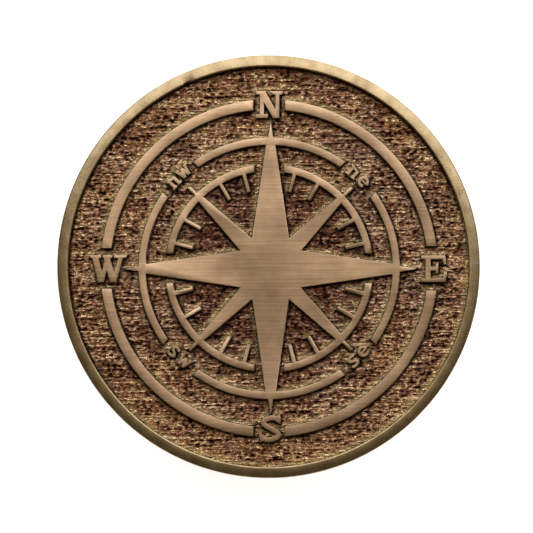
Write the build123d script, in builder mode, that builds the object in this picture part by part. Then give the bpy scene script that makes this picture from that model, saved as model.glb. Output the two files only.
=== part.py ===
"""Pocket sundial: a horizontal compass dial in a round turned case, closed by a cast lid with a compass rose.

Millimetres, +Z up. The origin is the middle of the base, and +Y is north, the side of the lid's hinge.
The lid is closed, the gnomon folded flat on the dial, and the compass needle free.
"""

import os
from math import cos, radians, sin, sqrt, tan

from build123d import *

# Lid: a bronze casting whose rim overhangs the case and hides the hinge from above.
lid_radius = 35.0
lid_overhang = 3.0
lid_web = 2.7  # from the seat on the case to the field of the relief
lid_edge_chamfer = 0.4
rim_width = 1.9
rim_height = 1.0  # of the rim's inner edge above the field
rim_fall = 0.35  # how far the rim's top slopes down to its outer edge
rim_round = 0.45
rim_inner_chamfer = 0.2
liner_pocket_depth = 1.0

# Relief of the lid, from the rim inwards. The rings stand apart by fixed gaps.
relief_height = 0.8
outer_ring_gap = 5.15  # from the rim's inner edge to the outer ring
outer_ring_width = 1.7
middle_ring_gap = 4.6
middle_ring_width = 1.25
inner_ring_gap = 3.15
inner_ring_width = 1.2
ring_shift = (0.1, -0.27)  # the rings stand a little off the lid's centre, and so does the star
star_shift = (0.35, -0.37)
letter_shifts = {"N": (0.12, -0.3), "E": (0.25, -0.33), "S": (0.35, 0.3), "W": (0.65, -0.33)}
outer_letter_gaps = {"N": 5.3, "E": 7.3, "S": 5.2, "W": 6.7}
middle_letter_gap = 7.1
arm_gap = 4.9  # opening of the inner ring for a main arm of the star
valley_near, valley_far = 3.06, 5.05  # the star's inner corners, across and along a main arm
arm_half_width = 0.84  # where a main arm meets the middle ring
spike_half_width = 0.42
spike_reach = 2.45  # of the main arms past the middle ring
point_half_width = 0.08
side_arm_half_width = 0.58  # where a diagonal arm meets the inner ring
side_spike_half_width = 0.27
side_spike_reach = 1.75
tick_width = 0.62
tick_length = 3.6
tick_step = 15.0  # degrees
letter_height = 4.4
small_letter_height = 1.95
small_letter_turn = 3.2  # degrees from the diagonal to each small letter

# Case: a turned brass cup.
case_height = 13.4
case_wall = 2.0
case_floor = 1.6
foot_flare = 1.7
foot_height = 2.0
foot_chamfer = 0.4
cove = 1.3
groove_drop = 4.9  # of the turned groove below the mouth
groove_depth = 0.3
floor_chamfer = 0.5

# Dial plate, on four pillars.
mouth_depth = 3.2  # from the mouth down to the dial
plate_thickness = 1.2
plate_clearance = 0.15
pillar_radius = 1.8
pillar_waist = 1.25
pillar_inset = 2.4  # from the case's bore to the pillars' axes
pillar_stub_radius = 0.8
pillar_stub_depth = 1.0
dial_screw = {"head": 1.3, "shank": 0.7, "length": 4.2}

# Compass bowl, under the dial plate.
bowl_bore = 16.6
bowl_wall = 1.6
bowl_floor = 0.8
bowl_air = 0.4  # between the bowl and the case's floor
flange_reach = 1.6  # of the flange past the bowl's wall
flange_height = 2.0
glass_ledge = 0.8  # how far the glass rests on the bowl's wall
glass_thickness = 1.0
glass_clearance = 0.08
ring_thickness = 0.7
ring_width = 0.9
ring_slit = 1.0
bowl_screw = {"head": 0.95, "shank": 0.5, "length": 2.8}
bowl_screw_inset = 1.2  # from the flange's edge
card_thickness = 0.4
card_clearance = 0.1

# Compass needle, on a steel pivot.
cap_headroom = 0.5
cap_height = 1.6
cap_flange_radius = 2.1
cap_radius = 1.5
cap_flange_height = 0.3
cap_bore = 0.75
jewel_thickness = 0.4
jewel_clearance = 0.03
needle_thickness = 0.3
needle_gap = 1.4  # from the needle's tip to the bowl's wall
needle_hub_radius = 2.4
pivot_gap = 0.05
pivot_stub_radius = 0.8
collar_radius = 1.45
collar_height = 1.7
pivot_radius = 0.5
pivot_point_radius = 0.08
weight_radius_out = 7.5
weight_size = (1.9, 1.7, 0.9)

# Needle lifter: a lever across the bowl, worked by a wedge on a slide.
lifter_azimuth = 247.0
lifter_gap = 1.2  # from the card to the lever
lifter_thickness = 0.4
lifter_width = 1.0
lifter_eye_radius = 2.6
lifter_eye_clearance = 0.3
fulcrum_radius_out = 12.5
lifter_tail = 2.6  # of the lever past the flange
lifter_angle = 5.0
barrel_radius = 0.65
barrel_half_length = 1.05
fulcrum_pin_radius = 0.3
cheek_thickness = 0.45
side_clearance = 0.1
bracket_base_thickness = 0.25
tail_slot_width = 1.9
lock_travel = 4.0
wedge_clearance = 0.08
wedge_length = 5.0
wedge_thickness = 1.1
wedge_height = 1.15
stem_length = 1.6
slide_clearance = 0.15
shoulder_reach = 0.6
shoulder_height = 0.7
knob_radius = 1.35
knob_height = 1.3
knob_base_thickness = 0.5
knob_flutes = 16

# Gnomon, folded flat towards the east. Its hinge runs north to south over the glass.
gnomon_lift = 1.35  # of the hinge axis above the dial
gnomon_thickness = 0.8
gnomon_foot = 0.8  # of the frame below the hinge axis
gnomon_bar = 2.4
lug_gap = 0.4  # from the glass opening to the lugs
lug_thickness = 1.6
lug_radius = 1.2
lug_stub_radius = 0.5
gnomon_pin_radius = 0.4
running_clearance = 0.03
gnomon_barrel_radius = 0.8
gnomon_barrel_length = 1.5
end_clearance = 0.3
heel_radius = 0.6
heel_length = 1.75
style_thickness = 0.7
layer_clearance = 0.05
style_pivot = (0.9, 3.0)  # above the hinge axis, and in from the frame's south end
style_short = 9.0  # how much shorter the style is than the frame between its barrels' ends
style_latitude = 50.0  # degrees: the angle that the style makes with the dial
style_span = 28.0
style_window_start = 9.0
style_scale_width = 6.0  # from the window to the style's arc
style_window_dip = 1.2
style_margin = 6.5  # degrees from the style's edges to its window
style_boss_radius = 1.5
style_rivet_radius = 0.5
rivet_head_radius = 1.05
rivet_head_height = 0.3
spring_thickness = 0.25
spring_width = 1.5
spring_reach = 7.0
spring_screw = {"head": 1.0, "shank": 0.45, "length": 1.15}

# Hinge of the lid, under its overhang.
knuckle_radius = 1.0
knuckle_gap = 0.2  # from the knuckles to the case's wall
knuckle_drop = 0.15  # from the lid's seat to the knuckles
lid_knuckle_length = 6.0
case_knuckle_length = 3.4
knuckle_end_gap = 0.1
hinge_pin_radius = 0.5
pin_overhang = 0.2
leaf_thickness = 0.6
leaf_height = 3.3
tenon = (4.4, 1.0, 1.2)
hinge_rivet_radius = 0.4
hinge_rivet_head = (0.75, 0.3)
hinge_rivet_depth = 1.2
hinge_rivet_rise = 0.75

# Liner of the lid: an engraved brass disc.
liner_thickness = 0.8
liner_clearance = 0.12
liner_screw = {"head": 1.1, "shank": 0.5, "length": 2.0}
liner_screw_inset = 2.4
liner_wall = 3.2  # of the lid's seat outside the liner

countersink_angle = 82.0
slot_width = 0.3
slot_depth = 0.25

# Levels and radii that follow from those sizes.
case_radius = lid_radius - lid_overhang
case_bore = case_radius - case_wall
foot_radius = case_radius + foot_flare
plate_top = case_height - mouth_depth
plate_bottom = plate_top - plate_thickness
plate_radius = case_bore - plate_clearance
pillar_pitch = case_bore - pillar_inset
field_level = case_height + lid_web
rim_inner_radius = lid_radius - rim_width
bowl_bottom = case_floor + bowl_air
bowl_inside = bowl_bottom + bowl_floor
bowl_radius = bowl_bore + bowl_wall
flange_radius = bowl_radius + flange_reach
glass_bottom = plate_bottom - glass_thickness
glass_opening = bowl_bore + glass_ledge
bowl_screw_pitch = flange_radius - bowl_screw_inset
card_top = bowl_inside + card_thickness
cap_top = glass_bottom - cap_headroom
cap_bottom = cap_top - cap_height
needle_level = cap_bottom + cap_flange_height
needle_reach = bowl_bore - needle_gap
jewel_level = cap_top - jewel_thickness
lifter_level = card_top + lifter_gap
fulcrum_level = lifter_level + lifter_thickness / 2
gnomon_level = plate_top + gnomon_lift
lug_near = glass_opening + lug_gap
lug_far = lug_near + lug_thickness
lug_middle = (lug_near + lug_far) / 2
style_level = gnomon_level + gnomon_thickness / 2 + layer_clearance
hinge_y = case_radius + knuckle_gap + knuckle_radius
hinge_z = case_height - knuckle_drop - knuckle_radius
liner_pocket_radius = case_radius - liner_wall
liner_radius = liner_pocket_radius - liner_clearance
liner_level = case_height + liner_pocket_depth - liner_thickness
liner_screw_pitch = liner_radius - liner_screw_inset

# Letters of the relief, as strokes in shares of the letter's height: a list of points, and the stroke's width.
BLOCK_LETTERS = {
    "N": [
        ([(-0.28, -0.5), (-0.28, 0.5)], 0.15),
        ([(-0.25, 0.42), (0.26, -0.47)], 0.24),
        ([(0.31, -0.5), (0.31, 0.5)], 0.15),
        ([(-0.5, -0.43), (-0.05, -0.43)], 0.14),
        ([(-0.5, 0.44), (-0.15, 0.44)], 0.12),
        ([(0.11, 0.44), (0.5, 0.44)], 0.12),
    ],
    "E": [
        ([(-0.22, -0.5), (-0.22, 0.5)], 0.2),
        ([(-0.48, 0.43), (0.38, 0.43)], 0.14),
        ([(-0.48, -0.43), (0.42, -0.43)], 0.14),
        ([(-0.2, 0.0), (0.12, 0.0)], 0.13),
        ([(0.12, -0.18), (0.12, 0.2)], 0.1),
        ([(0.36, 0.5), (0.42, 0.16)], 0.12),
        ([(0.38, -0.5), (0.44, -0.12)], 0.12),
    ],
    "W": [
        ([(-0.51, 0.47), (-0.28, -0.5)], 0.23),
        ([(-0.25, -0.5), (-0.04, 0.47)], 0.15),
        ([(-0.08, 0.47), (0.17, -0.5)], 0.23),
        ([(0.2, -0.5), (0.47, 0.47)], 0.17),
        ([(-0.7, 0.45), (-0.28, 0.45)], 0.11),
        ([(-0.2, 0.45), (0.14, 0.45)], 0.11),
        ([(0.2, 0.45), (0.68, 0.45)], 0.11),
    ],
    "n": [
        ([(-0.26, -0.5), (-0.26, 0.46)], 0.26),
        ([(0.26, -0.5), (0.26, 0.3)], 0.26),
        ([(-0.26, 0.34), (0.26, 0.24)], 0.24),
        ([(-0.52, -0.42), (-0.07, -0.42)], 0.16),
        ([(0.07, -0.42), (0.52, -0.42)], 0.16),
        ([(-0.5, 0.38), (-0.26, 0.38)], 0.16),
    ],
    "w": [
        ([(-0.44, 0.42), (-0.22, -0.44)], 0.28),
        ([(-0.22, -0.44), (0.0, 0.34)], 0.24),
        ([(0.0, 0.34), (0.22, -0.44)], 0.26),
        ([(0.22, -0.44), (0.44, 0.42)], 0.26),
        ([(-0.62, 0.4), (-0.24, 0.4)], 0.16),
        ([(0.24, 0.4), (0.62, 0.4)], 0.16),
    ],
    "e": [([(-0.36, 0.02), (0.36, 0.02)], 0.16)],
    "S": [
        ([(0.31, 0.5), (0.34, 0.18)], 0.1),
        ([(-0.36, -0.5), (-0.39, -0.14)], 0.1),
    ],
    "s": [],
}
S_LINE = [(0.31, 0.27), (0.05, 0.41), (-0.28, 0.24), (0.0, 0.01), (0.3, -0.24), (-0.02, -0.41), (-0.36, -0.24)]
S_STROKE = {"S": 0.19, "s": 0.24}
E_BOWL_RADIUS, E_BOWL_STROKE, E_BOWL_ARC = 0.36, 0.26, 315


def finish(piece, name):
    """Writes a finished piece as its own STEP file."""
    piece.part.label = name
    export_step(piece.part, f"parts/{name}.step")


def countersunk_screw(head, shank, length):
    """A slotted screw with its head's top at the origin, pointing down."""
    cone = (head - shank) / tan(radians(countersink_angle / 2))
    with BuildPart(mode=Mode.PRIVATE) as screw:
        with BuildSketch(Plane.XZ):
            with BuildLine():
                Polyline((0, 0), (head, 0), (shank, -cone), (shank, -length), (0, -length), close=True)
            make_face()
        revolve(axis=Axis.Z)
        Box(2 * head, slot_width, 2 * slot_depth, mode=Mode.SUBTRACT)
    return screw.part


def letter(name, height):
    """A raised letter's outline, centred on the origin."""
    with BuildSketch(mode=Mode.PRIVATE) as outline:
        for points, width in BLOCK_LETTERS[name]:
            with BuildLine():
                Polyline(*points)
            trace(line_width=width)
        if name in S_STROKE:
            with BuildLine():
                Spline(*S_LINE)
            trace(line_width=S_STROKE[name])
        if name == "e":
            with BuildLine():
                CenterArc((0, 0), E_BOWL_RADIUS, 0, E_BOWL_ARC)
            trace(line_width=E_BOWL_STROKE)
    return scale(outline.sketch, by=height, mode=Mode.PRIVATE)


def section(*points):
    """The closed section of a turned piece, as (radius, height) points."""
    with BuildSketch(Plane.XZ, mode=Mode.PRIVATE) as half:
        with BuildLine():
            Polyline(*points, close=True)
        make_face()
    return half.sketch


os.makedirs("parts", exist_ok=True)

# --- Case -----------------------------------------------------------------------------------------------------
# The cup is turned from one piece, with a moulded foot. Its floor takes the pillars' stubs.
groove_level = case_height - groove_drop
wall_foot = foot_height + cove
with BuildPart() as case_body:
    with BuildSketch(Plane.XZ):
        with BuildLine():
            Polyline((0, case_floor), (0, 0), (foot_radius - foot_chamfer, 0), (foot_radius, foot_chamfer),
                     (foot_radius, foot_height))
            RadiusArc((foot_radius, foot_height), (case_radius, wall_foot), -1.05 * (foot_flare + cove))
            Polyline((case_radius, wall_foot), (case_radius, groove_level - groove_depth),
                     (case_radius - groove_depth, groove_level), (case_radius, groove_level + groove_depth),
                     (case_radius, case_height), (case_bore, case_height),
                     (case_bore, case_floor + floor_chamfer), (case_bore - floor_chamfer, case_floor),
                     (0, case_floor))
        make_face()
    revolve(axis=Axis.Z)
    with Locations((0, 0, case_floor)):
        with PolarLocations(pillar_pitch, 4, 45):
            Hole(pillar_stub_radius, depth=pillar_stub_depth)
    # Blind holes for the rivets of the hinge leaf.
    for side in (-1, 1):
        rivet_x = side * (lid_knuckle_length + case_knuckle_length) / 2
        rivet_plane = Plane(origin=(rivet_x, case_radius, hinge_z - leaf_height + hinge_rivet_rise), z_dir=(0, 1, 0))
        with Locations(rivet_plane.location):
            Hole(hinge_rivet_radius, depth=hinge_rivet_depth)
finish(case_body, "case_body")

# --- Dial plate and its pillars -------------------------------------------------------------------------------
# Each pillar is a turned baluster with a stub in the floor and a tapped hole for its dial screw.
pillar_thread_depth = dial_screw["length"] - plate_thickness
waist_level = (case_floor + plate_bottom) / 2
with BuildPart() as pillar:
    with BuildSketch(Plane.XZ):
        with BuildLine():
            Polyline((0, case_floor - pillar_stub_depth), (pillar_stub_radius, case_floor - pillar_stub_depth),
                     (pillar_stub_radius, case_floor), (pillar_radius, case_floor), (pillar_radius, case_floor + 1),
                     (pillar_waist, waist_level), (pillar_radius, plate_bottom - 1), (pillar_radius, plate_bottom),
                     (0, plate_bottom), close=True)
        make_face()
    revolve(axis=Axis.Z)
    with Locations((0, 0, plate_bottom)):
        Hole(dial_screw["shank"], depth=pillar_thread_depth)
with BuildPart() as dial_pillars:
    with PolarLocations(pillar_pitch, 4, 45):
        add(pillar.part)
finish(dial_pillars, "dial_pillars")

# The lock's slide works in a frame turned to the lifter's azimuth: x outwards along the lever, y across it.
lifter_frame = Plane(origin=(0, 0, 0), x_dir=(cos(radians(lifter_azimuth)), sin(radians(lifter_azimuth)), 0),
                     z_dir=(0, 0, 1))
wedge_near = flange_radius + 1.1
wedge_far = wedge_near + wedge_thickness
wedge_front = -lifter_width / 2 - side_clearance
stem_front = wedge_front - (wedge_length - stem_length) * 0.7
stem_back = stem_front - stem_length
wedge_middle = (wedge_near + wedge_far) / 2
stem_middle = (stem_front + stem_back) / 2
slot_back = stem_back - slide_clearance
slot_front = stem_front + lock_travel + slide_clearance

spring_y = lug_far + layer_clearance + heel_length / 2
spring_screw_x = -spring_reach

with BuildPart() as dial_plate:
    with BuildSketch(Plane.XY.offset(plate_bottom)):
        Circle(plate_radius)
        Circle(glass_opening, mode=Mode.SUBTRACT)
    extrude(amount=plate_thickness)
    top_edge = dial_plate.edges().filter_by(GeomType.CIRCLE).group_by(Axis.Z)[-1].sort_by(SortBy.RADIUS)[-1]
    chamfer(top_edge, length=0.25)
    with Locations((0, 0, plate_top)):
        with PolarLocations(pillar_pitch, 4, 45):
            CounterSinkHole(dial_screw["shank"], dial_screw["head"], counter_sink_angle=countersink_angle)
        with PolarLocations(bowl_screw_pitch, 4, 45):
            CounterSinkHole(bowl_screw["shank"], bowl_screw["head"], counter_sink_angle=countersink_angle)
        with Locations((0, -lug_middle, 0), (0, lug_middle, 0)):
            Hole(lug_stub_radius)
        with Locations((spring_screw_x, spring_y, 0)):
            Hole(spring_screw["shank"])
    with BuildSketch(lifter_frame.offset(plate_bottom)):
        with Locations((wedge_middle, (slot_back + slot_front) / 2)):
            Rectangle(wedge_thickness + 2 * slide_clearance, slot_front - slot_back)
    extrude(amount=plate_thickness, mode=Mode.SUBTRACT)
finish(dial_plate, "dial_plate")

one_dial_screw = countersunk_screw(**dial_screw)
with BuildPart() as dial_screws:
    with Locations((0, 0, plate_top)):
        with PolarLocations(pillar_pitch, 4, 45):
            add(one_dial_screw)
finish(dial_screws, "dial_screws")

# --- Compass bowl, glass and card -----------------------------------------------------------------------------
with BuildPart() as compass_bowl:
    revolve(section((0, bowl_bottom), (bowl_radius, bowl_bottom), (bowl_radius, plate_bottom - flange_height),
            (flange_radius, plate_bottom - flange_height), (flange_radius, plate_bottom),
            (glass_opening, plate_bottom), (glass_opening, glass_bottom), (bowl_bore, glass_bottom),
            (bowl_bore, bowl_inside), (0, bowl_inside)), axis=Axis.Z)
    with Locations((0, 0, bowl_inside)):
        Hole(pivot_stub_radius, depth=bowl_floor)
    with Locations((0, 0, plate_bottom)):
        with PolarLocations(bowl_screw_pitch, 4, 45):
            Hole(bowl_screw["shank"], depth=bowl_screw["length"] - plate_thickness)
    # The lever's tail comes out through a slot in the wall, with room to tip.
    slot_low = card_top
    slot_high = lifter_level + lifter_thickness + 0.6
    with BuildSketch(lifter_frame.offset(slot_low)):
        with Locations(((bowl_bore + bowl_radius) / 2, 0)):
            Rectangle(2 * bowl_wall + 1, tail_slot_width)
    extrude(amount=slot_high - slot_low, mode=Mode.SUBTRACT)
finish(compass_bowl, "compass_bowl")

one_bowl_screw = countersunk_screw(**bowl_screw)
with BuildPart() as bowl_screws:
    with Locations((0, 0, plate_top)):
        with PolarLocations(bowl_screw_pitch, 4, 45):
            add(one_bowl_screw)
finish(bowl_screws, "bowl_screws")

with BuildPart() as compass_card:
    with BuildSketch(Plane.XY.offset(bowl_inside)):
        Circle(bowl_bore - card_clearance)
        Circle(collar_radius, mode=Mode.SUBTRACT)
    extrude(amount=card_thickness)
finish(compass_card, "compass_card")

with BuildPart() as compass_glass:
    with BuildSketch(Plane.XY.offset(glass_bottom)):
        Circle(glass_opening - glass_clearance)
    extrude(amount=glass_thickness)
finish(compass_glass, "compass_glass")

# A split ring, sprung into the opening of the dial plate, holds the glass down.
with BuildPart() as glass_ring:
    with BuildSketch(Plane.XY.offset(plate_bottom)):
        Circle(glass_opening)
        Circle(glass_opening - ring_width, mode=Mode.SUBTRACT)
        with Locations((-glass_opening, 0)):
            Rectangle(4 * ring_width, ring_slit, mode=Mode.SUBTRACT)
    extrude(amount=ring_thickness)
finish(glass_ring, "glass_ring")

# --- Needle and pivot -----------------------------------------------------------------------------------------
pivot_tip = jewel_level - pivot_gap
collar_top = bowl_inside + collar_height
with BuildPart() as pivot_pin:
    revolve(section((0, bowl_bottom), (pivot_stub_radius, bowl_bottom), (pivot_stub_radius, bowl_inside),
            (collar_radius, bowl_inside), (collar_radius, collar_top), (pivot_radius, collar_top),
            (pivot_radius, (collar_top + pivot_tip) / 2), (pivot_point_radius, pivot_tip), (0, pivot_tip)), axis=Axis.Z)
finish(pivot_pin, "pivot_pin")

# The needle is cut from thin steel: an arrow to the north, a paddle to the south, and a round hub.
shaft_half_width = 0.45
arrow_half_width = 1.5
arrow_length = 5.2
paddle_half_width = 1.0
paddle_length = 4.2
with BuildPart() as compass_needle:
    with BuildSketch(Plane.XY.offset(needle_level)):
        with BuildLine():
            north_half = [
                (0, needle_reach), (arrow_half_width, needle_reach - arrow_length),
                (shaft_half_width, needle_reach - 0.8 * arrow_length),
                (shaft_half_width, -needle_reach + paddle_length),
                (paddle_half_width, -needle_reach + 0.4 * paddle_length), (0, -needle_reach),
            ]
            Polyline(*north_half, *[(-x, y) for x, y in reversed(north_half[1:-1])], close=True)
        make_face()
        Circle(needle_hub_radius)
        Circle(cap_radius, mode=Mode.SUBTRACT)
    extrude(amount=needle_thickness)
finish(compass_needle, "compass_needle")

with BuildPart() as needle_cap:
    revolve(section((cap_bore, cap_bottom), (cap_flange_radius, cap_bottom), (cap_flange_radius, needle_level),
            (cap_radius, needle_level), (cap_radius, cap_top - 0.3), (cap_radius - 0.3, cap_top),
            (cap_bore, cap_top)), axis=Axis.Z)
finish(needle_cap, "needle_cap")

with BuildPart() as cap_jewel:
    with BuildSketch(Plane.XY.offset(jewel_level)):
        Circle(cap_bore - jewel_clearance)
    extrude(amount=jewel_thickness)
finish(cap_jewel, "cap_jewel")

# A sliding weight on the south arm levels the needle.
with BuildPart() as needle_weight:
    with Locations((0, -weight_radius_out, needle_level + needle_thickness / 2)):
        Box(*weight_size)
        Box(2 * shaft_half_width, 2 * weight_size[1], needle_thickness, mode=Mode.SUBTRACT)
finish(needle_weight, "needle_weight")

# --- Needle lifter --------------------------------------------------------------------------------------------
tail_end = flange_radius + lifter_tail
with BuildPart() as lifter_lever:
    with BuildSketch(lifter_frame.offset(lifter_level)):
        Circle(lifter_eye_radius)
        with Locations((tail_end / 2, 0)):
            Rectangle(tail_end, lifter_width)
        Circle(collar_radius + lifter_eye_clearance, mode=Mode.SUBTRACT)
    extrude(amount=lifter_thickness)
    barrel_plane = Plane(origin=lifter_frame.from_local_coords((fulcrum_radius_out, 0, fulcrum_level)),
                         z_dir=lifter_frame.y_dir)
    with BuildSketch(barrel_plane):
        Circle(barrel_radius)
    extrude(amount=barrel_half_length, both=True)
    with BuildSketch(barrel_plane):
        Circle(fulcrum_pin_radius + running_clearance)
    extrude(amount=2 * barrel_half_length, both=True, mode=Mode.SUBTRACT)
finish(lifter_lever, "lifter_lever")

bracket_half_width = barrel_half_length + side_clearance + cheek_thickness
bracket_half_length = 1.2
with BuildPart() as lifter_bracket:
    with BuildSketch(lifter_frame.offset(card_top)):
        with Locations((fulcrum_radius_out, 0)):
            Rectangle(2 * bracket_half_length, 2 * bracket_half_width)
    extrude(amount=bracket_base_thickness)
    with BuildSketch(lifter_frame.offset(card_top)):
        for side in (-1, 1):
            with Locations((fulcrum_radius_out, side * (bracket_half_width - cheek_thickness / 2))):
                Rectangle(2 * barrel_radius, cheek_thickness)
    extrude(amount=fulcrum_level + barrel_radius - card_top)
    with BuildSketch(barrel_plane):
        Circle(fulcrum_pin_radius)
    extrude(amount=2 * bracket_half_width, both=True, mode=Mode.SUBTRACT)
finish(lifter_bracket, "lifter_bracket")

with BuildPart() as lifter_pin:
    with BuildSketch(barrel_plane):
        Circle(fulcrum_pin_radius)
    extrude(amount=bracket_half_width + 0.15, both=True)
finish(lifter_pin, "lifter_pin")

# The slide: a wedge that presses the lever's tail down, on a stem that comes up through the dial plate.
tail_arm = wedge_middle - fulcrum_radius_out
wedge_slope = tail_arm * sin(radians(lifter_angle)) / lock_travel
wedge_level = lifter_level + lifter_thickness + wedge_clearance
shoulder_top = plate_bottom - layer_clearance
knob_level = plate_top + layer_clearance
tongue_top = knob_level + knob_base_thickness + 0.5
with BuildPart() as lock_slide:
    wedge_plane = Plane(origin=lifter_frame.from_local_coords((wedge_near, 0, 0)), x_dir=lifter_frame.y_dir,
                        z_dir=lifter_frame.x_dir)
    with BuildSketch(wedge_plane):
        with BuildLine():
            Polyline((wedge_front, wedge_level), (wedge_front, wedge_level + wedge_height),
                     (wedge_front - wedge_length, wedge_level + wedge_height),
                     (wedge_front - wedge_length, wedge_level - wedge_slope * wedge_length), close=True)
        make_face()
        with Locations((stem_middle, (wedge_level + tongue_top) / 2)):
            Rectangle(stem_length, tongue_top - wedge_level)
    extrude(amount=wedge_thickness)
    with BuildSketch(lifter_frame.offset(shoulder_top - shoulder_height)):
        with Locations((wedge_middle, stem_middle)):
            Rectangle(wedge_thickness + 2 * shoulder_reach, stem_length + 2 * shoulder_reach)
    extrude(amount=shoulder_height)
finish(lock_slide, "lock_slide")

knob_base_length = stem_length + 2.2
with BuildPart() as lock_knob:
    with BuildSketch(lifter_frame.offset(knob_level)):
        with Locations((wedge_middle, stem_middle)):
            RectangleRounded(wedge_thickness + 1.9, knob_base_length, 0.6)
    extrude(amount=knob_base_thickness)
    with BuildSketch(lifter_frame.offset(knob_level + knob_base_thickness)):
        with Locations((wedge_middle, stem_middle)):
            Circle(knob_radius)
            with PolarLocations(knob_radius, knob_flutes):
                Circle(0.12, mode=Mode.SUBTRACT)
    extrude(amount=knob_height)
    with BuildSketch(lifter_frame.offset(knob_level)):
        with Locations((wedge_middle, stem_middle)):
            Rectangle(wedge_thickness, stem_length)
    extrude(amount=tongue_top - knob_level, mode=Mode.SUBTRACT)
finish(lock_knob, "lock_knob")

# --- Gnomon ---------------------------------------------------------------------------------------------------
# Two lugs are riveted into the dial plate, and the gnomon turns on pins between them.
for name, side in (("south_lug", -1), ("north_lug", 1)):
    with BuildPart() as lug:
        lug_plane = Plane(origin=(0, side * lug_middle, 0), x_dir=(1, 0, 0), z_dir=(0, -1, 0))
        with BuildSketch(lug_plane):
            with Locations((0, (plate_top + gnomon_level) / 2)):
                Rectangle(2 * lug_radius, gnomon_level - plate_top)
            with Locations((0, gnomon_level)):
                Circle(lug_radius)
                Circle(gnomon_pin_radius + running_clearance, mode=Mode.SUBTRACT)
        extrude(amount=lug_thickness / 2, both=True)
        with BuildSketch(Plane.XY.offset(plate_bottom)):
            with Locations((0, side * lug_middle)):
                Circle(lug_stub_radius)
        extrude(amount=plate_thickness)
    finish(lug, name)

# The frame: a bar with a barrel at each end, and a bird that points its beak at the style's scale.
frame_end = lug_near - end_clearance
bar_end = frame_end - gnomon_barrel_length
style_radius = 2 * frame_end - style_short
pivot_y = -frame_end + style_pivot[1]
pivot_x = style_pivot[0]


def on_style(radius, angle):
    """A point at a radius from the style's pivot, at an angle from the bar."""
    return (pivot_x + radius * sin(radians(angle)), pivot_y + radius * cos(radians(angle)))


beak_angle = style_latitude - style_span / 2
beak = on_style(style_radius + 0.8, beak_angle)
bird_back = [(1.0, 2.0), (-0.4, 4.0), (-4.2, 6.6), (-8.0, 8.0), (-12.6, 9.7)]
bird_breast = [(-12.6, 9.7), (-10.2, 6.4), (-7.9, 3.7), (-4.2, 2.6), (-1.4, 1.8)]
leg_x, leg_y, leg_width = beak[0] - 8.4, beak[1] + 5.6, 1.3
with BuildPart() as gnomon_frame:
    with BuildSketch(Plane.XY.offset(gnomon_level - gnomon_thickness / 2)):
        with Locations(((gnomon_bar - gnomon_foot) / 2, 0)):
            Rectangle(gnomon_bar + gnomon_foot, 2 * bar_end)
        with BuildLine():
            Spline(beak, *[(beak[0] + x, beak[1] + y) for x, y in bird_back])
            Spline(*[(beak[0] + x, beak[1] + y) for x, y in bird_breast])
            Line((beak[0] + bird_breast[-1][0], beak[1] + bird_breast[-1][1]), beak)
        make_face()
        with BuildLine():
            Polyline((leg_x, leg_y + leg_width), (leg_x, leg_y), (gnomon_bar - 0.4, leg_y - 0.9),
                     (gnomon_bar - 0.4, leg_y + 1.9), close=True)
        make_face()
    extrude(amount=gnomon_thickness)
    barrel_start = Plane(origin=(0, -frame_end, gnomon_level), z_dir=(0, 1, 0))
    with BuildSketch(barrel_start, barrel_start.offset(2 * frame_end - gnomon_barrel_length)):
        Circle(gnomon_barrel_radius)
    extrude(amount=gnomon_barrel_length)
    with BuildSketch(barrel_start):
        Circle(gnomon_pin_radius)
    extrude(amount=2 * frame_end, mode=Mode.SUBTRACT)
    with BuildSketch(Plane.XY.offset(gnomon_level - gnomon_thickness / 2)):
        with Locations(((gnomon_bar - gnomon_foot) / 2, 0)):
            Rectangle(gnomon_bar + gnomon_foot, 2 * bar_end)
    extrude(amount=gnomon_thickness)
    with Locations((pivot_x, pivot_y, gnomon_level + gnomon_thickness)):
        Hole(style_rivet_radius)
finish(gnomon_frame, "gnomon_frame")

with BuildPart() as gnomon_pins:
    with BuildSketch(barrel_start.offset(frame_end - lug_far)):
        Circle(gnomon_pin_radius)
    extrude(amount=lug_far - bar_end)
    with BuildSketch(barrel_start.offset(frame_end + bar_end)):
        Circle(gnomon_pin_radius)
    extrude(amount=lug_far + layer_clearance - bar_end)
    with BuildSketch(barrel_start.offset(frame_end + lug_far + layer_clearance)):
        Circle(heel_radius)
    extrude(amount=heel_length)
finish(gnomon_pins, "gnomon_pins")

# The style: a sector with the latitude scale on its arc, pierced to lighten it.
with BuildPart() as gnomon_style:
    with BuildSketch(Plane.XY.offset(style_level)):
        low, high = style_latitude - style_span, style_latitude
        middle = (low + high) / 2
        with BuildLine():
            Line((pivot_x, pivot_y), on_style(style_radius, high))
            ThreePointArc(on_style(style_radius, high), on_style(style_radius, middle),
                          on_style(style_radius, low))
            Line(on_style(style_radius, low), (pivot_x, pivot_y))
        make_face()
        with BuildLine():
            near, far = style_window_start, style_radius - style_scale_width
            near_low, near_high = low + style_margin * 1.2, high - style_margin * 1.2
            far_low, far_high = low + style_margin, high - style_margin
            Line(on_style(near, near_low), on_style(far, far_low))
            ThreePointArc(on_style(far, far_low), on_style(far - style_window_dip, middle), on_style(far, far_high))
            Line(on_style(far, far_high), on_style(near, near_high))
            ThreePointArc(on_style(near, near_high), on_style(near + style_window_dip / 2, middle),
                          on_style(near, near_low))
        make_face(mode=Mode.SUBTRACT)
        with Locations((pivot_x, pivot_y)):
            Circle(style_boss_radius)
            Circle(style_rivet_radius + running_clearance, mode=Mode.SUBTRACT)
    extrude(amount=style_thickness)
finish(gnomon_style, "gnomon_style")

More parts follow.
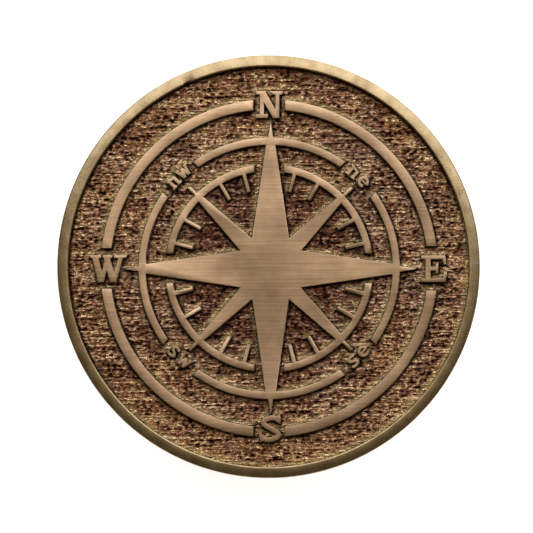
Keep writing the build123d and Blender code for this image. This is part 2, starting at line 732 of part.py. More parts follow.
rivet_bottom = gnomon_level - gnomon_thickness / 2
rivet_head_level = style_level + style_thickness + layer_clearance
with BuildPart() as style_rivet:
    with Locations((pivot_x, pivot_y, rivet_bottom)):
        Cylinder(style_rivet_radius, rivet_head_level - rivet_bottom, align=(Align.CENTER, Align.CENTER, Align.MIN))
        Cylinder(rivet_head_radius, rivet_head_height, align=(Align.CENTER, Align.CENTER, Align.MAX))
    with Locations((pivot_x, pivot_y, rivet_head_level)):
        Cylinder(rivet_head_radius, rivet_head_height, align=(Align.CENTER, Align.CENTER, Align.MIN))
finish(style_rivet, "style_rivet")

# A leaf spring on the dial plate bears on the heel of the north pin, and holds the gnomon up or down.
spring_free_level = gnomon_level - heel_radius - layer_clearance - spring_thickness
spring_bend = spring_free_level - plate_top
with BuildPart() as gnomon_spring:
    spring_plane = Plane(origin=(0, spring_y, 0), x_dir=(1, 0, 0), z_dir=(0, -1, 0))
    crank_start, crank_end = spring_screw_x + 1.8, spring_screw_x + 3.2
    with BuildSketch(spring_plane):
        with BuildLine():
            Polyline((spring_screw_x - 1.4, plate_top), (crank_start, plate_top),
                     (crank_end, plate_top + spring_bend), (heel_radius + 0.6, plate_top + spring_bend),
                     (heel_radius + 0.6, plate_top + spring_bend + spring_thickness),
                     (crank_end - 0.1, plate_top + spring_bend + spring_thickness),
                     (crank_start - 0.1, plate_top + spring_thickness),
                     (spring_screw_x - 1.4, plate_top + spring_thickness), close=True)
        make_face()
    extrude(amount=spring_width / 2, both=True)
    with Locations((spring_screw_x, spring_y, plate_top + spring_thickness)):
        Hole(spring_screw["shank"])
finish(gnomon_spring, "gnomon_spring")

with BuildPart() as spring_screw_piece:
    with Locations((spring_screw_x, spring_y, plate_top + spring_thickness)):
        Cylinder(spring_screw["shank"], spring_screw["length"], align=(Align.CENTER, Align.CENTER, Align.MAX))
        Cylinder(spring_screw["head"], 0.5, align=(Align.CENTER, Align.CENTER, Align.MIN))
    with Locations((spring_screw_x, spring_y, plate_top + spring_thickness + 0.5)):
        Box(2 * spring_screw["head"], slot_width, 2 * slot_depth, mode=Mode.SUBTRACT)
finish(spring_screw_piece, "spring_screw")

# --- Hinge of the lid -----------------------------------------------------------------------------------------
# The leaf is riveted to the case's wall. Its two knuckles stand each side of the lid's knuckle.
knuckle_start = lid_knuckle_length / 2 + knuckle_end_gap
knuckle_end = knuckle_start + case_knuckle_length
leaf_low = hinge_z - leaf_height
leaf_step = hinge_z - knuckle_radius - knuckle_gap
hinge_plane = Plane(origin=(0, hinge_y, hinge_z), z_dir=(1, 0, 0))
with BuildPart() as case_hinge:
    with BuildSketch(Plane.XY.offset(leaf_low)):
        Circle(case_radius + leaf_thickness)
        Circle(case_radius, mode=Mode.SUBTRACT)
        with Locations((0, case_radius)):
            Rectangle(2 * knuckle_end, 2 * case_radius / 3, mode=Mode.INTERSECT)
    extrude(amount=leaf_step - leaf_low)
    for side in (-1, 1):
        middle_x = side * (knuckle_start + knuckle_end) / 2
        with BuildSketch(Plane(origin=(side * knuckle_start, hinge_y, hinge_z), x_dir=(0, 1, 0), z_dir=(side, 0, 0))):
            Circle(knuckle_radius)
        extrude(amount=case_knuckle_length)
        with BuildSketch(Plane.XY.offset(leaf_step)):
            with Locations((middle_x, case_radius)):
                Rectangle(case_knuckle_length, 2 * (hinge_y - case_radius))
            Circle(case_radius, mode=Mode.SUBTRACT)
        extrude(amount=hinge_z - leaf_step)
        with BuildSketch(Plane.XY.offset(leaf_low)):
            with Locations((middle_x, case_radius)):
                Rectangle(case_knuckle_length, 2 * leaf_thickness)
            Circle(case_radius, mode=Mode.SUBTRACT)
        extrude(amount=leaf_step - leaf_low)
    with BuildSketch(hinge_plane.offset(-knuckle_end)):
        Circle(hinge_pin_radius)
    extrude(amount=2 * knuckle_end, mode=Mode.SUBTRACT)
    for side in (-1, 1):
        rivet_x = side * (lid_knuckle_length + case_knuckle_length) / 2
        with Locations(Plane(origin=(rivet_x, hinge_y, leaf_low + hinge_rivet_rise), z_dir=(0, 1, 0)).location):
            Hole(hinge_rivet_radius, depth=2 * hinge_y - 2 * case_radius)
finish(case_hinge, "case_hinge")

leaf_face = case_radius + leaf_thickness
with BuildPart() as hinge_rivets:
    for side in (-1, 1):
        rivet_x = side * (lid_knuckle_length + case_knuckle_length) / 2
        start = Plane(origin=(rivet_x, case_radius - hinge_rivet_depth, leaf_low + hinge_rivet_rise), z_dir=(0, 1, 0))
        with BuildSketch(start):
            Circle(hinge_rivet_radius)
        extrude(amount=hinge_rivet_depth + leaf_thickness)
        with BuildSketch(start.offset(hinge_rivet_depth + leaf_thickness)):
            Circle(hinge_rivet_head[0])
        extrude(amount=hinge_rivet_head[1], taper=20)
finish(hinge_rivets, "hinge_rivets")

with BuildPart() as hinge_pin:
    with BuildSketch(hinge_plane.offset(-knuckle_end - pin_overhang)):
        Circle(hinge_pin_radius)
    extrude(amount=2 * (knuckle_end + pin_overhang))
    chamfer(hinge_pin.edges().filter_by(GeomType.CIRCLE), length=0.12)
finish(hinge_pin, "hinge_pin")

with BuildPart() as lid_hinge:
    with BuildSketch(hinge_plane.offset(-lid_knuckle_length / 2)):
        Circle(knuckle_radius)
    extrude(amount=lid_knuckle_length)
    with Locations((0, hinge_y, hinge_z)):
        Box(lid_knuckle_length, 2 * knuckle_radius, knuckle_radius + knuckle_drop,
            align=(Align.CENTER, Align.CENTER, Align.MIN))
    with Locations((0, hinge_y, case_height)):
        Box(*tenon, align=(Align.CENTER, Align.CENTER, Align.MIN))
    with BuildSketch(hinge_plane.offset(-lid_knuckle_length)):
        Circle(hinge_pin_radius + running_clearance)
    extrude(amount=2 * lid_knuckle_length, mode=Mode.SUBTRACT)
finish(lid_hinge, "lid_hinge")

# --- Lid ------------------------------------------------------------------------------------------------------
outer_ring = rim_inner_radius - outer_ring_gap
middle_ring = outer_ring - outer_ring_width - middle_ring_gap
inner_ring = middle_ring - middle_ring_width - inner_ring_gap
middle_inside = middle_ring - middle_ring_width
inner_inside = inner_ring - inner_ring_width
letter_radius = outer_ring - outer_ring_width / 2
small_letter_radius = middle_ring - middle_ring_width / 2
diagonal = [(1, 1), (-1, 1), (-1, -1), (1, -1)]


def ring(radius, width, gaps):
    """A raised ring, cut through by straight gaps: (angle, width) pairs."""
    with BuildSketch(mode=Mode.PRIVATE) as band:
        Circle(radius)
        Circle(radius - width, mode=Mode.SUBTRACT)
        for angle, gap in gaps:
            with Locations(Location((radius * cos(radians(angle)), radius * sin(radians(angle)), 0), (0, 0, angle))):
                Rectangle(4 * width, gap, mode=Mode.SUBTRACT)
    return band.sketch


def arm(near, far):
    """An eighth of the star's outline on one side of a main arm: its valley, shoulder, spike and point."""
    return [(valley_near, valley_far), (arm_half_width, near), (spike_half_width, far), (point_half_width, far + spike_reach)]


# The star: four main arms to the middle ring and past it, four diagonal arms to the inner ring and past it.
main_half = arm(middle_inside, middle_ring)
side_along = (inner_inside, inner_ring, inner_ring + side_spike_reach)
side_across = (side_arm_half_width, side_spike_half_width, side_spike_half_width)
root_half = sqrt(2) / 2
side_half = [((a - w) * root_half, (a + w) * root_half) for a, w in zip(side_along, side_across)]
eighth = list(reversed(main_half)) + side_half
quarter = eighth + [(y, x) for x, y in reversed(eighth)]
with BuildSketch() as star:
    with BuildLine():
        points = []
        for turn in range(4):
            c, s = (1, 0, -1, 0)[turn], (0, 1, 0, -1)[turn]
            points += [(c * x + s * y, -s * x + c * y) for x, y in quarter]
        Polyline(*points, close=True)
    make_face()

main_turns = {"N": 90, "E": 0, "S": 270, "W": 180}
rings = [
    ring(outer_ring, outer_ring_width, [(main_turns[name], gap) for name, gap in outer_letter_gaps.items()]),
    ring(middle_ring, middle_ring_width, [(angle, middle_letter_gap) for angle in (45, 135, 225, 315)]),
    ring(inner_ring, inner_ring_width, [(angle, arm_gap) for angle in (0, 90, 180, 270)]),
]
large_letters = {name: letter(name, letter_height) for name in "NESW"}
small_letters = {name: letter(name, small_letter_height) for name in "nesw"}
with BuildSketch() as rose:
    add(rings)
    for tick in range(round(360 / tick_step)):
        angle = tick * tick_step
        if angle % 45 == 0:
            continue
        middle = inner_ring - inner_ring_width / 2 - tick_length / 2
        with Locations(Location((middle * cos(radians(angle)), middle * sin(radians(angle)), 0), (0, 0, angle))):
            Rectangle(tick_length, tick_width)
with BuildSketch() as relief:
    with Locations(ring_shift):
        add(rose.sketch)
    with Locations(star_shift):
        add(star.sketch)
    for name, angle in main_turns.items():
        x, y = letter_radius * cos(radians(angle)), letter_radius * sin(radians(angle))
        with Locations((x + letter_shifts[name][0], y + letter_shifts[name][1])):
            add(large_letters[name])
    # The small letters follow the ring. Above they stand outwards, and below they stand inwards.
    for pair, angle, outwards in (("nw", 135, True), ("ne", 45, True), ("sw", 225, False), ("se", 315, False)):
        for name, step in zip(pair, (1, -1)):
            at = angle + step * small_letter_turn * (1 if outwards else -1)
            x, y = small_letter_radius * cos(radians(at)), small_letter_radius * sin(radians(at))
            with Locations(Location((x, y, 0), (0, 0, at - 90 if outwards else at + 90))):
                add(small_letters[name])

rim_top = field_level + rim_height
rim_edge = rim_top - rim_fall
with BuildPart() as lid:
    with BuildSketch(Plane.XZ):
        with BuildLine():
            Polyline((lid_radius, rim_edge - rim_round), (lid_radius, case_height + lid_edge_chamfer),
                     (lid_radius - lid_edge_chamfer, case_height), (liner_pocket_radius, case_height),
                     (liner_pocket_radius, case_height + liner_pocket_depth), (0, case_height + liner_pocket_depth),
                     (0, field_level), (rim_inner_radius, field_level),
                     (rim_inner_radius, rim_top - rim_inner_chamfer), (rim_inner_radius + rim_inner_chamfer, rim_top),
                     (lid_radius - rim_round, rim_edge))
            RadiusArc((lid_radius - rim_round, rim_edge), (lid_radius, rim_edge - rim_round), rim_round)
        make_face()
    revolve(axis=Axis.Z)
    with BuildSketch(Plane.XY.offset(field_level)):
        add(relief.sketch)
    extrude(amount=relief_height)
    with Locations((0, hinge_y, case_height)):
        Box(*tenon, align=(Align.CENTER, Align.CENTER, Align.MIN), mode=Mode.SUBTRACT)
    with Locations((0, 0, case_height + liner_pocket_depth)):
        with PolarLocations(liner_screw_pitch, 3, 90):
            screw_depth = liner_screw["length"] - liner_thickness
            Cylinder(liner_screw["shank"], screw_depth, align=(Align.CENTER, Align.CENTER, Align.MIN),
                     mode=Mode.SUBTRACT)
finish(lid, "lid")

# The liner fills the pocket in the lid's underside. Its screws come up from below.
liner_underside = Plane(origin=(0, 0, liner_level), x_dir=(1, 0, 0), z_dir=(0, 0, -1))
with BuildPart() as lid_liner:
    with BuildSketch(Plane.XY.offset(liner_level)):
        Circle(liner_radius)
    extrude(amount=liner_thickness)
    with Locations(liner_underside.location):
        with PolarLocations(liner_screw_pitch, 3, -90):
            CounterSinkHole(liner_screw["shank"], liner_screw["head"], counter_sink_angle=countersink_angle)
finish(lid_liner, "lid_liner")

one_liner_screw = countersunk_screw(**liner_screw)
with BuildPart() as liner_screws:
    with Locations(liner_underside.location):
        with PolarLocations(liner_screw_pitch, 3, -90):
            add(one_liner_screw)
finish(liner_screws, "liner_screws")
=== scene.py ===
"""The looks of a pocket sundial, shut and seen from above: a cast bronze lid with a raised compass rose."""

from math import atan2, cos, degrees, pi, radians, sin

import bmesh
import bpy
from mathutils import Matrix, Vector
from mathutils.bvhtree import BVHTree


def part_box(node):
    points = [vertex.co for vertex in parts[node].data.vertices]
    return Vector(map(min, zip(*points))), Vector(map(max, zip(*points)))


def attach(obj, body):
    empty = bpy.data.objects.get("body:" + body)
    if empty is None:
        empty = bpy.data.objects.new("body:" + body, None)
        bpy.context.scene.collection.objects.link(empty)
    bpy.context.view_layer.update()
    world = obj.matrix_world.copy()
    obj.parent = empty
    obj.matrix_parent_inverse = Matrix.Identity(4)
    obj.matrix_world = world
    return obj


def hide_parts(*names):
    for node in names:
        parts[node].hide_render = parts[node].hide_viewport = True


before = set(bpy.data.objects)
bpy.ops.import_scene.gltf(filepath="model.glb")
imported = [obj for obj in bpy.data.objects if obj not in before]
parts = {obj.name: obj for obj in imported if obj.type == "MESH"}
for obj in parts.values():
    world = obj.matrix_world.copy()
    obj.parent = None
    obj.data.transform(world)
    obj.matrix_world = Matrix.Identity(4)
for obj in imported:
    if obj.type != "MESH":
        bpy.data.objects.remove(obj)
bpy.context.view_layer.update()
mm = 0.001


# --- Lid: the body ----------------------------------------------------------------------------------------
# A thick bronze disc with a raised rim whose top falls outwards, and a shallow pocket below for the liner.
# Cast in sand, then turned and rubbed bright on the rim. The rose and the grained field are separate pieces.
def start_piece(name):
    """Names the new active object and goes into edit mode with everything selected."""
    bpy.context.object.name = name
    bpy.ops.object.mode_set(mode="EDIT")
    bpy.ops.mesh.select_all(action="SELECT")
    return bpy.context.object


def pick(element, test):
    """In edit mode, selects just the faces, edges or verts whose middle and self pass a test."""
    bpy.ops.mesh.select_all(action="DESELECT")
    bpy.ops.mesh.select_mode(type={"faces": "FACE", "edges": "EDGE", "verts": "VERT"}[element])
    edited = bmesh.from_edit_mesh(bpy.context.object.data)
    for item in getattr(edited, element):
        if element == "verts":
            middle = item.co
        elif element == "edges":
            middle = (item.verts[0].co + item.verts[1].co) / 2
        else:
            middle = item.calc_center_median()
        if test(middle, item):
            item.select_set(True)
    edited.select_flush_mode()
    bmesh.update_edit_mesh(bpy.context.object.data)


def end_piece(piece, body, slot, *nodes, sharp=30):
    """Leaves edit mode, shades the piece, and tells the frame its body and replaced nodes. The slot is not
    used.
    """
    bpy.ops.object.mode_set(mode="OBJECT")
    bpy.ops.object.select_all(action="DESELECT")
    piece.select_set(True)
    bpy.context.view_layer.objects.active = piece
    bpy.ops.object.transform_apply(location=True, rotation=True, scale=True)
    bpy.ops.object.shade_smooth_by_angle(angle=radians(sharp))
    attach(piece, body)
    if nodes:
        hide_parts(*nodes)
    bpy.ops.object.select_all(action="DESELECT")


def off_axis(place):
    """How far a place is from the object's upright axis."""
    return place.to_2d().length


near = 0.01 * mm  # how close to a level or a radius a picked place has to be
bpy.ops.object.select_all(action="DESELECT")
lid_low, lid_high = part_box("lid")
lid_radius = lid_high[0]
seat, rim_top = lid_low[2], lid_high[2]
rim_fall, rim_width, rim_height = 0.35 * mm, 1.9 * mm, 1.0 * mm
field_level = rim_top - rim_height
under_grain = 0.35 * mm  # the body's face lies this far below the grained field
pocket_wall, pocket_depth = 6.2 * mm, 1.0 * mm
outer_round, inner_round, lower_round = 0.25 * mm, 0.3 * mm, 0.4 * mm
turned_sides = 256
facing = 0.9  # a face looks up or down if its normal's z is past this

bpy.ops.mesh.primitive_cylinder_add(vertices=turned_sides, radius=lid_radius, depth=rim_top - rim_fall - seat,
                                    location=(0, 0, (rim_top - rim_fall + seat) / 2))
bpy.ops.object.transform_apply(location=True)
lid_body = start_piece("lid_body")
pick("faces", lambda middle, face: face.normal.z > facing)
bpy.ops.mesh.inset(thickness=rim_width)
bpy.ops.transform.translate(value=(0, 0, rim_fall))
bpy.ops.mesh.extrude_region_move(TRANSFORM_OT_translate={"value": (0, 0, -rim_height - under_grain)})
pick("faces", lambda middle, face: face.normal.z < -facing)
bpy.ops.mesh.inset(thickness=pocket_wall)
bpy.ops.mesh.extrude_region_move(TRANSFORM_OT_translate={"value": (0, 0, pocket_depth)})
# The level and radius of each rounded edge, the width of its round and how many steps make it.
rounds = (
    (rim_top - rim_fall, lid_radius, outer_round, 4),
    (rim_top, lid_radius - rim_width, inner_round, 4),
    (seat, lid_radius, lower_round, 2),
)
for level, radius, width, segments in rounds:
    pick("edges", lambda middle, edge: abs(middle.z - level) < near
         and all(abs(off_axis(end.co) - radius) < near for end in edge.verts))
    bpy.ops.mesh.bevel(offset=width, segments=segments, profile=0.5)
# A small cold shut from the casting nicks the inner edge of the rim in the north-north-west.
nick_at, nick_width, nick_out, nick_down = radians(113.4), radians(1.6), 0.2 * mm, 0.4 * mm
pick("verts", lambda place, vert: place.z > field_level
     and off_axis(place) < lid_radius - rim_width + inner_round
     and abs(atan2(place.y, place.x) - nick_at) < nick_width / 2)
bpy.ops.transform.translate(value=(nick_out * cos(nick_at), nick_out * sin(nick_at), -nick_down))


def linear(code):
    """An sRGB hex colour as linear RGBA."""
    channels = [int(code[i:i + 2], 16) / 255 for i in (1, 3, 5)]
    return [c / 12.92 if c <= 0.04045 else ((c + 0.055) / 1.055) ** 2.4 for c in channels] + [1.0]


def add(tree, kind, inputs=None, stops=(), **settings):
    """Adds a node with its settings, its inputs as values or links, and its stops if it is a colour ramp."""
    made = tree.nodes.new(kind)
    for setting, value in settings.items():
        setattr(made, setting, value)
    for socket, value in (inputs or {}).items():
        if isinstance(value, bpy.types.NodeSocket):
            tree.links.new(value, made.inputs[socket])
        else:
            made.inputs[socket].default_value = value
    for number, (position, code) in enumerate(stops):
        elements = made.color_ramp.elements
        element = elements[number] if number < 2 else elements.new(position)
        element.position = position
        element.color = linear(code)
    return made


def start_material(name, **sockets):
    """A new material: itself, its tree, its shader, and the object's coordinates in millimetres."""
    made = bpy.data.materials.new(name)
    made.use_nodes = True
    tree = made.node_tree
    shader = tree.nodes["Principled BSDF"]
    for socket, value in sockets.items():
        shader.inputs[socket.replace("_", " ")].default_value = value
    place = add(tree, "ShaderNodeTexCoord").outputs["Object"]
    place = add(tree, "ShaderNodeVectorMath", {0: place, 1: (1 / mm, 1 / mm, 1 / mm)}, operation="MULTIPLY")
    place = place.outputs[0]
    return made, tree, shader, place


def from_middle(tree, place):
    """How many millimetres each point is from the object's upright axis."""
    flat = add(tree, "ShaderNodeVectorMath", {0: place, 1: (1, 1, 0)}, operation="MULTIPLY").outputs[0]
    return add(tree, "ShaderNodeVectorMath", {0: flat}, operation="LENGTH").outputs["Value"]


def connect(tree, shader, **sources):
    """Links outputs to the inputs of a shader that have their names."""
    for socket, source in sources.items():
        tree.links.new(source, shader.inputs[socket.replace("_", " ")])


# Handled cast bronze: yellower and smoother than the rose, with specks of brown oxide, and dirt and painted
# shade by the wall.
rim_bronze, tree, shader, place = start_material("handled_rim_bronze", Metallic=1.0)
blotch = add(tree, "ShaderNodeTexNoise", {"Vector": place, "Scale": 0.35, "Detail": 5.0, "Roughness": 0.65})
tone = add(tree, "ShaderNodeValToRGB", {"Fac": blotch.outputs["Fac"]},
           stops=((0.3, "#8e7959"), (0.5, "#a5906c"), (0.72, "#bba57e"))).outputs["Color"]
fine = add(tree, "ShaderNodeTexNoise", {"Vector": place, "Scale": 3.5, "Detail": 4.0, "Roughness": 0.7})
speck = add(tree, "ShaderNodeMapRange", {"Value": fine.outputs["Fac"], "From Min": 0.64, "From Max": 0.7})
height = add(tree, "ShaderNodeSeparateXYZ", {"Vector": place}).outputs["Z"]
# Dirt and painted shade: the rim's inner wall is painted darker towards its foot, all the way round.
wall_foot_dirt_and_shade = add(tree, "ShaderNodeMapRange", {"Value": height, "To Min": 0.9, "To Max": 0.0,
                                        "From Min": field_level / mm, "From Max": rim_top / mm - 0.4})
across = from_middle(tree, place)
wall_mm = (lid_radius - rim_width) / mm
inner = add(tree, "ShaderNodeMapRange", {"Value": across, "To Min": 1.0, "To Max": 0.0,
                                         "From Min": wall_mm + 0.1, "From Max": wall_mm + 0.3})
upper = add(tree, "ShaderNodeMapRange", {"Value": height,
                                         "From Min": seat / mm + 1.2, "From Max": seat / mm + 1.5})
wall_foot_dirt_and_shade = add(tree, "ShaderNodeMath", {0: wall_foot_dirt_and_shade.outputs[0], 1: inner.outputs[0]}, operation="MULTIPLY")
wall_foot_dirt_and_shade = add(tree, "ShaderNodeMath", {0: wall_foot_dirt_and_shade.outputs[0], 1: upper.outputs[0]}, operation="MULTIPLY")
specks_dirt_and_shade = add(tree, "ShaderNodeMath", {0: speck.outputs[0], 1: wall_foot_dirt_and_shade.outputs[0]}, operation="MAXIMUM").outputs[0]
tone = add(tree, "ShaderNodeMix", {"Factor": specks_dirt_and_shade, "A": tone, "B": linear("#4d3c28")}, data_type="RGBA")
shine = add(tree, "ShaderNodeMapRange", {"Value": fine.outputs["Fac"], "To Min": 0.2, "To Max": 0.36})
bump = add(tree, "ShaderNodeBump", {"Height": fine.outputs["Fac"], "Strength": 0.15, "Distance": 0.0001})
connect(tree, shader, Base_Color=tone.outputs["Result"], Roughness=shine.outputs[0], Normal=bump.outputs[0])

lid_body.data.materials.clear()
lid_body.data.materials.append(rim_bronze)
end_piece(lid_body, "lid", "lid_bronze", "lid", sharp=35)


# --- Lid: the compass rose --------------------------------------------------------------------------------
# The raised rings, star, ticks and letters. They are part of the casting: their sides lean out for the
# mould, their tops were rubbed flat and bright, and their edges are worn round.
rose_height, rose_drop = 0.8 * mm, 1.05 * mm  # the tops above the field, and how far their sides go down
draft = 0.1 * mm  # how far the sides lean out
clear_of_rim = 0.5 * mm
sharp_edge = radians(50)
weld = 0.02 * mm  # closes the thin cracks between the strokes of the letters
bpy.ops.object.select_all(action="DESELECT")
rose = parts["lid"].copy()
rose.data = parts["lid"].data.copy()
bpy.context.scene.collection.objects.link(rose)
rose.parent = None
rose.hide_viewport = rose.hide_render = False
bpy.context.view_layer.objects.active = rose
rose.select_set(True)
start_piece("lid_rose")
bpy.ops.mesh.remove_doubles(threshold=weld)
rose_level = field_level + rose_height
pick("faces", lambda middle, face: abs(middle.z - rose_level) > near or face.normal.z < facing
     or off_axis(middle) > lid_radius - rim_width - clear_of_rim)
bpy.ops.mesh.delete(type="FACE")
bpy.ops.mesh.select_all(action="SELECT")
bpy.ops.mesh.extrude_region_move(TRANSFORM_OT_translate={"value": (0, 0, -rose_drop)})
bpy.ops.transform.shrink_fatten(value=draft)
bpy.ops.mesh.select_all(action="SELECT")
bpy.ops.mesh.normals_make_consistent(inside=False)
letter_spots = ((14.9, 14.9, 3.4), (27.3, 0.0, 3.3), (0.0, 27.3, 3.3))  # x, y and reach, in every quarter


def in_letters(place):
    """Whether a place is in a letter, small or large. They are less worn than the rings and the star."""
    return any((Vector((abs(place.x), abs(place.y))) / mm - Vector((x, y))).length < reach
               for x, y, reach in letter_spots)


open_wear, letter_wear = 0.11 * mm, 0.045 * mm
for letters, wear in ((False, open_wear), (True, letter_wear)):
    pick("edges", lambda middle, edge: min(end.co.z for end in edge.verts) > rose_level - near
         and in_letters(middle) == letters
         and len(edge.link_faces) == 2 and edge.calc_face_angle() > sharp_edge)
    bpy.ops.mesh.bevel(offset=wear, segments=3, clamp_overlap=False)
bpy.ops.object.mode_set(mode="OBJECT")

# Rubbed tops: bare bronze with fine strokes from east to west, about a third of a millimetre apart. Oxide
# Oxide stays on the sides, below the tops, and painted shade darkens them further.
satin_bronze, tree, shader, place = start_material("satin_rubbed_bronze", Metallic=1.0)
strokes = add(tree, "ShaderNodeVectorMath", {0: place, 1: (0.07, 3.0, 1)}, operation="MULTIPLY").outputs[0]
stroke = add(tree, "ShaderNodeTexNoise", {"Vector": strokes, "Scale": 1.0, "Detail": 4.0, "Roughness": 0.7})
blotch = add(tree, "ShaderNodeTexNoise", {"Vector": place, "Scale": 0.16, "Detail": 3.0, "Roughness": 0.55})
mixed = add(tree, "ShaderNodeMath", {0: stroke.outputs["Fac"], 1: 0.4}, operation="MULTIPLY").outputs[0]
mixed = add(tree, "ShaderNodeMath", {0: blotch.outputs["Fac"], 1: 0.45, 2: mixed}, operation="MULTIPLY_ADD")
across = from_middle(tree, place)
# Painted light: the tops are painted lighter the further they are from the middle.
painted_light_outward = add(tree, "ShaderNodeMapRange", {"Value": across, "From Min": 2.0, "From Max": 14.0,
                                           "To Min": 0.04, "To Max": 0.1})
mixed = add(tree, "ShaderNodeMath", {0: mixed.outputs[0], 1: painted_light_outward.outputs[0]}, operation="ADD")
rose_lit_side = (-0.55, 0.83, 0)  # the north-west: painted light makes the tops lighter towards it and darker away from it
painted_light_north_west = add(tree, "ShaderNodeVectorMath", {0: place, 1: rose_lit_side}, operation="DOT_PRODUCT")
painted_light_north_west = add(tree, "ShaderNodeMapRange", {"Value": painted_light_north_west.outputs["Value"], "To Min": -0.08, "To Max": 0.08,
                                           "From Min": -28.0, "From Max": 28.0})
mixed = add(tree, "ShaderNodeMath", {0: mixed.outputs[0], 1: painted_light_north_west.outputs[0]}, operation="ADD")
bright = add(tree, "ShaderNodeValToRGB", {"Fac": mixed.outputs[0]},
           stops=((0.3, "#7f664c"), (0.5, "#ac8f71"), (0.72, "#d6b590"))).outputs["Color"]
height = add(tree, "ShaderNodeSeparateXYZ", {"Vector": place}).outputs["Z"]
rose_mm = rose_level / mm
rubbed_and_lit = add(tree, "ShaderNodeMapRange", {"Value": height,
                                          "From Min": rose_mm - 0.5, "From Max": rose_mm - 0.16})
# Oxide and painted shade: the sides below the tops are painted near black.
side_oxide_and_shade = linear("#2e2016")
tone = add(tree, "ShaderNodeMix", {"Factor": rubbed_and_lit.outputs[0], "A": side_oxide_and_shade, "B": bright}, data_type="RGBA")
shine = add(tree, "ShaderNodeMapRange", {"Value": stroke.outputs["Fac"], "From Min": 0.3, "From Max": 0.7,
                                         "To Min": 0.34, "To Max": 0.48})
bump = add(tree, "ShaderNodeBump", {"Height": stroke.outputs["Fac"], "Strength": 0.12, "Distance": 0.00008})
connect(tree, shader, Base_Color=tone.outputs["Result"], Roughness=shine.outputs[0], Normal=bump.outputs[0])
rose.data.materials.clear()
rose.data.materials.append(satin_bronze)
end_piece(rose, "lid", "lid_bronze", "lid", sharp=40)


# --- Lid: the grained field -------------------------------------------------------------------------------
# The ground between the raised parts, left as it came from the mould: a rough wavy grain that runs east to
# west. A fine sheet is pushed up and down by three noises, and closed below, inside the lid's body.
grain_reach = lid_radius - rim_width + 0.25 * mm  # a little under the rim
field_thickness = 0.6 * mm
grain_origin = (0.3, 0.2, 0.1)  # any other place would give another grain
cells_x, cells_y = 256, 436  # finer along y, across the grain
bpy.ops.mesh.primitive_grid_add(x_subdivisions=cells_x, y_subdivisions=cells_y, size=2 * grain_reach,
                                location=(0, 0, field_level))
bpy.ops.object.transform_apply(location=True)
field = start_piece("lid_field")
pick("faces", lambda middle, face: off_axis(middle) > grain_reach)
bpy.ops.mesh.delete(type="FACE")
bpy.ops.object.mode_set(mode="OBJECT")


def push(piece, name, kind, size, depth, **settings):
    """Pushes a piece's surface up and down by a noise whose grain has a size along x and y."""
    noise = bpy.data.textures.new(name, kind)
    noise.noise_scale = 1.0
    for setting, value in settings.items():
        setattr(noise, setting, value)
    bpy.ops.object.empty_add(location=grain_origin)
    ruler = bpy.context.object
    ruler.scale = (*size, size[1])
    bpy.context.view_layer.update()
    bpy.ops.object.select_all(action="DESELECT")
    bpy.context.view_layer.objects.active = piece
    piece.select_set(True)
    made = piece.modifiers.new(name, "DISPLACE")
    made.texture = noise
    made.texture_coords = "OBJECT"
    made.texture_coords_object = ruler
    made.direction = "Z"
    made.mid_level = 0.5
    made.strength = depth
    bpy.ops.object.modifier_apply(modifier=made.name)
    bpy.data.objects.remove(ruler)


push(field, "ripples", "CLOUDS", (0.6 * mm, 0.38 * mm), 0.66 * mm, noise_depth=1)
push(field, "streaks", "CLOUDS", (4.5 * mm, 0.42 * mm), 0.36 * mm, noise_depth=1)
push(field, "swell", "CLOUDS", (6 * mm, 4 * mm), 0.1 * mm, noise_depth=0)

# How near the ground is to the foot of the raised parts, for a painted shadow there (foot), and how much
# painted light brightens it on their north-west side, by the distance to the nearest of them.
raised = BVHTree.FromPolygons([corner.co for corner in rose.data.vertices],
                              [face.vertices for face in rose.data.polygons])
foot = field.data.attributes.new("foot", "FLOAT", "POINT")
flank = field.data.attributes.new("rubbed_and_lit", "FLOAT", "POINT")
shadow_whole, shadow_fade, lit_fringe_whole, lit_fringe_fade = 0.2 * mm, 0.35 * mm, 0.225 * mm, 0.75 * mm
lit_fringe_side, lit_fringe_gain = Vector((-0.45, 0.89)), 1.8


def fade(distance, whole, span):
    """1 up to a distance, and from there down to 0 over a span."""
    return min(1, max(0, 1 - (distance - whole) / span))


for corner, low, lit_fringe_share in zip(field.data.vertices, foot.data, flank.data):
    spot = Vector((corner.co.x, corner.co.y, field_level + rose_height / 2))
    nearest = raised.find_nearest(spot)[0]
    away = (spot - nearest).to_2d()
    wall_gap = lid_radius - rim_width - off_axis(spot)
    if wall_gap < away.length:
        away = -spot.to_2d().normalized() * max(wall_gap, near)
    low.value = fade(away.length, shadow_whole, shadow_fade)
    on_side = away.normalized().dot(lit_fringe_side) if away.length else 0
    lit_fringe_share.value = fade(away.length, lit_fringe_whole, lit_fringe_fade) * min(1, max(0, on_side * lit_fringe_gain))
start_piece("lid_field")
bpy.ops.mesh.select_all(action="DESELECT")
bpy.ops.mesh.select_mode(type="VERT")
bpy.ops.mesh.select_non_manifold()
bpy.ops.mesh.extrude_region_move(TRANSFORM_OT_translate={"value": (0, 0, -field_thickness)})
bpy.ops.transform.resize(value=(1, 1, 0))
bpy.ops.mesh.edge_face_add()

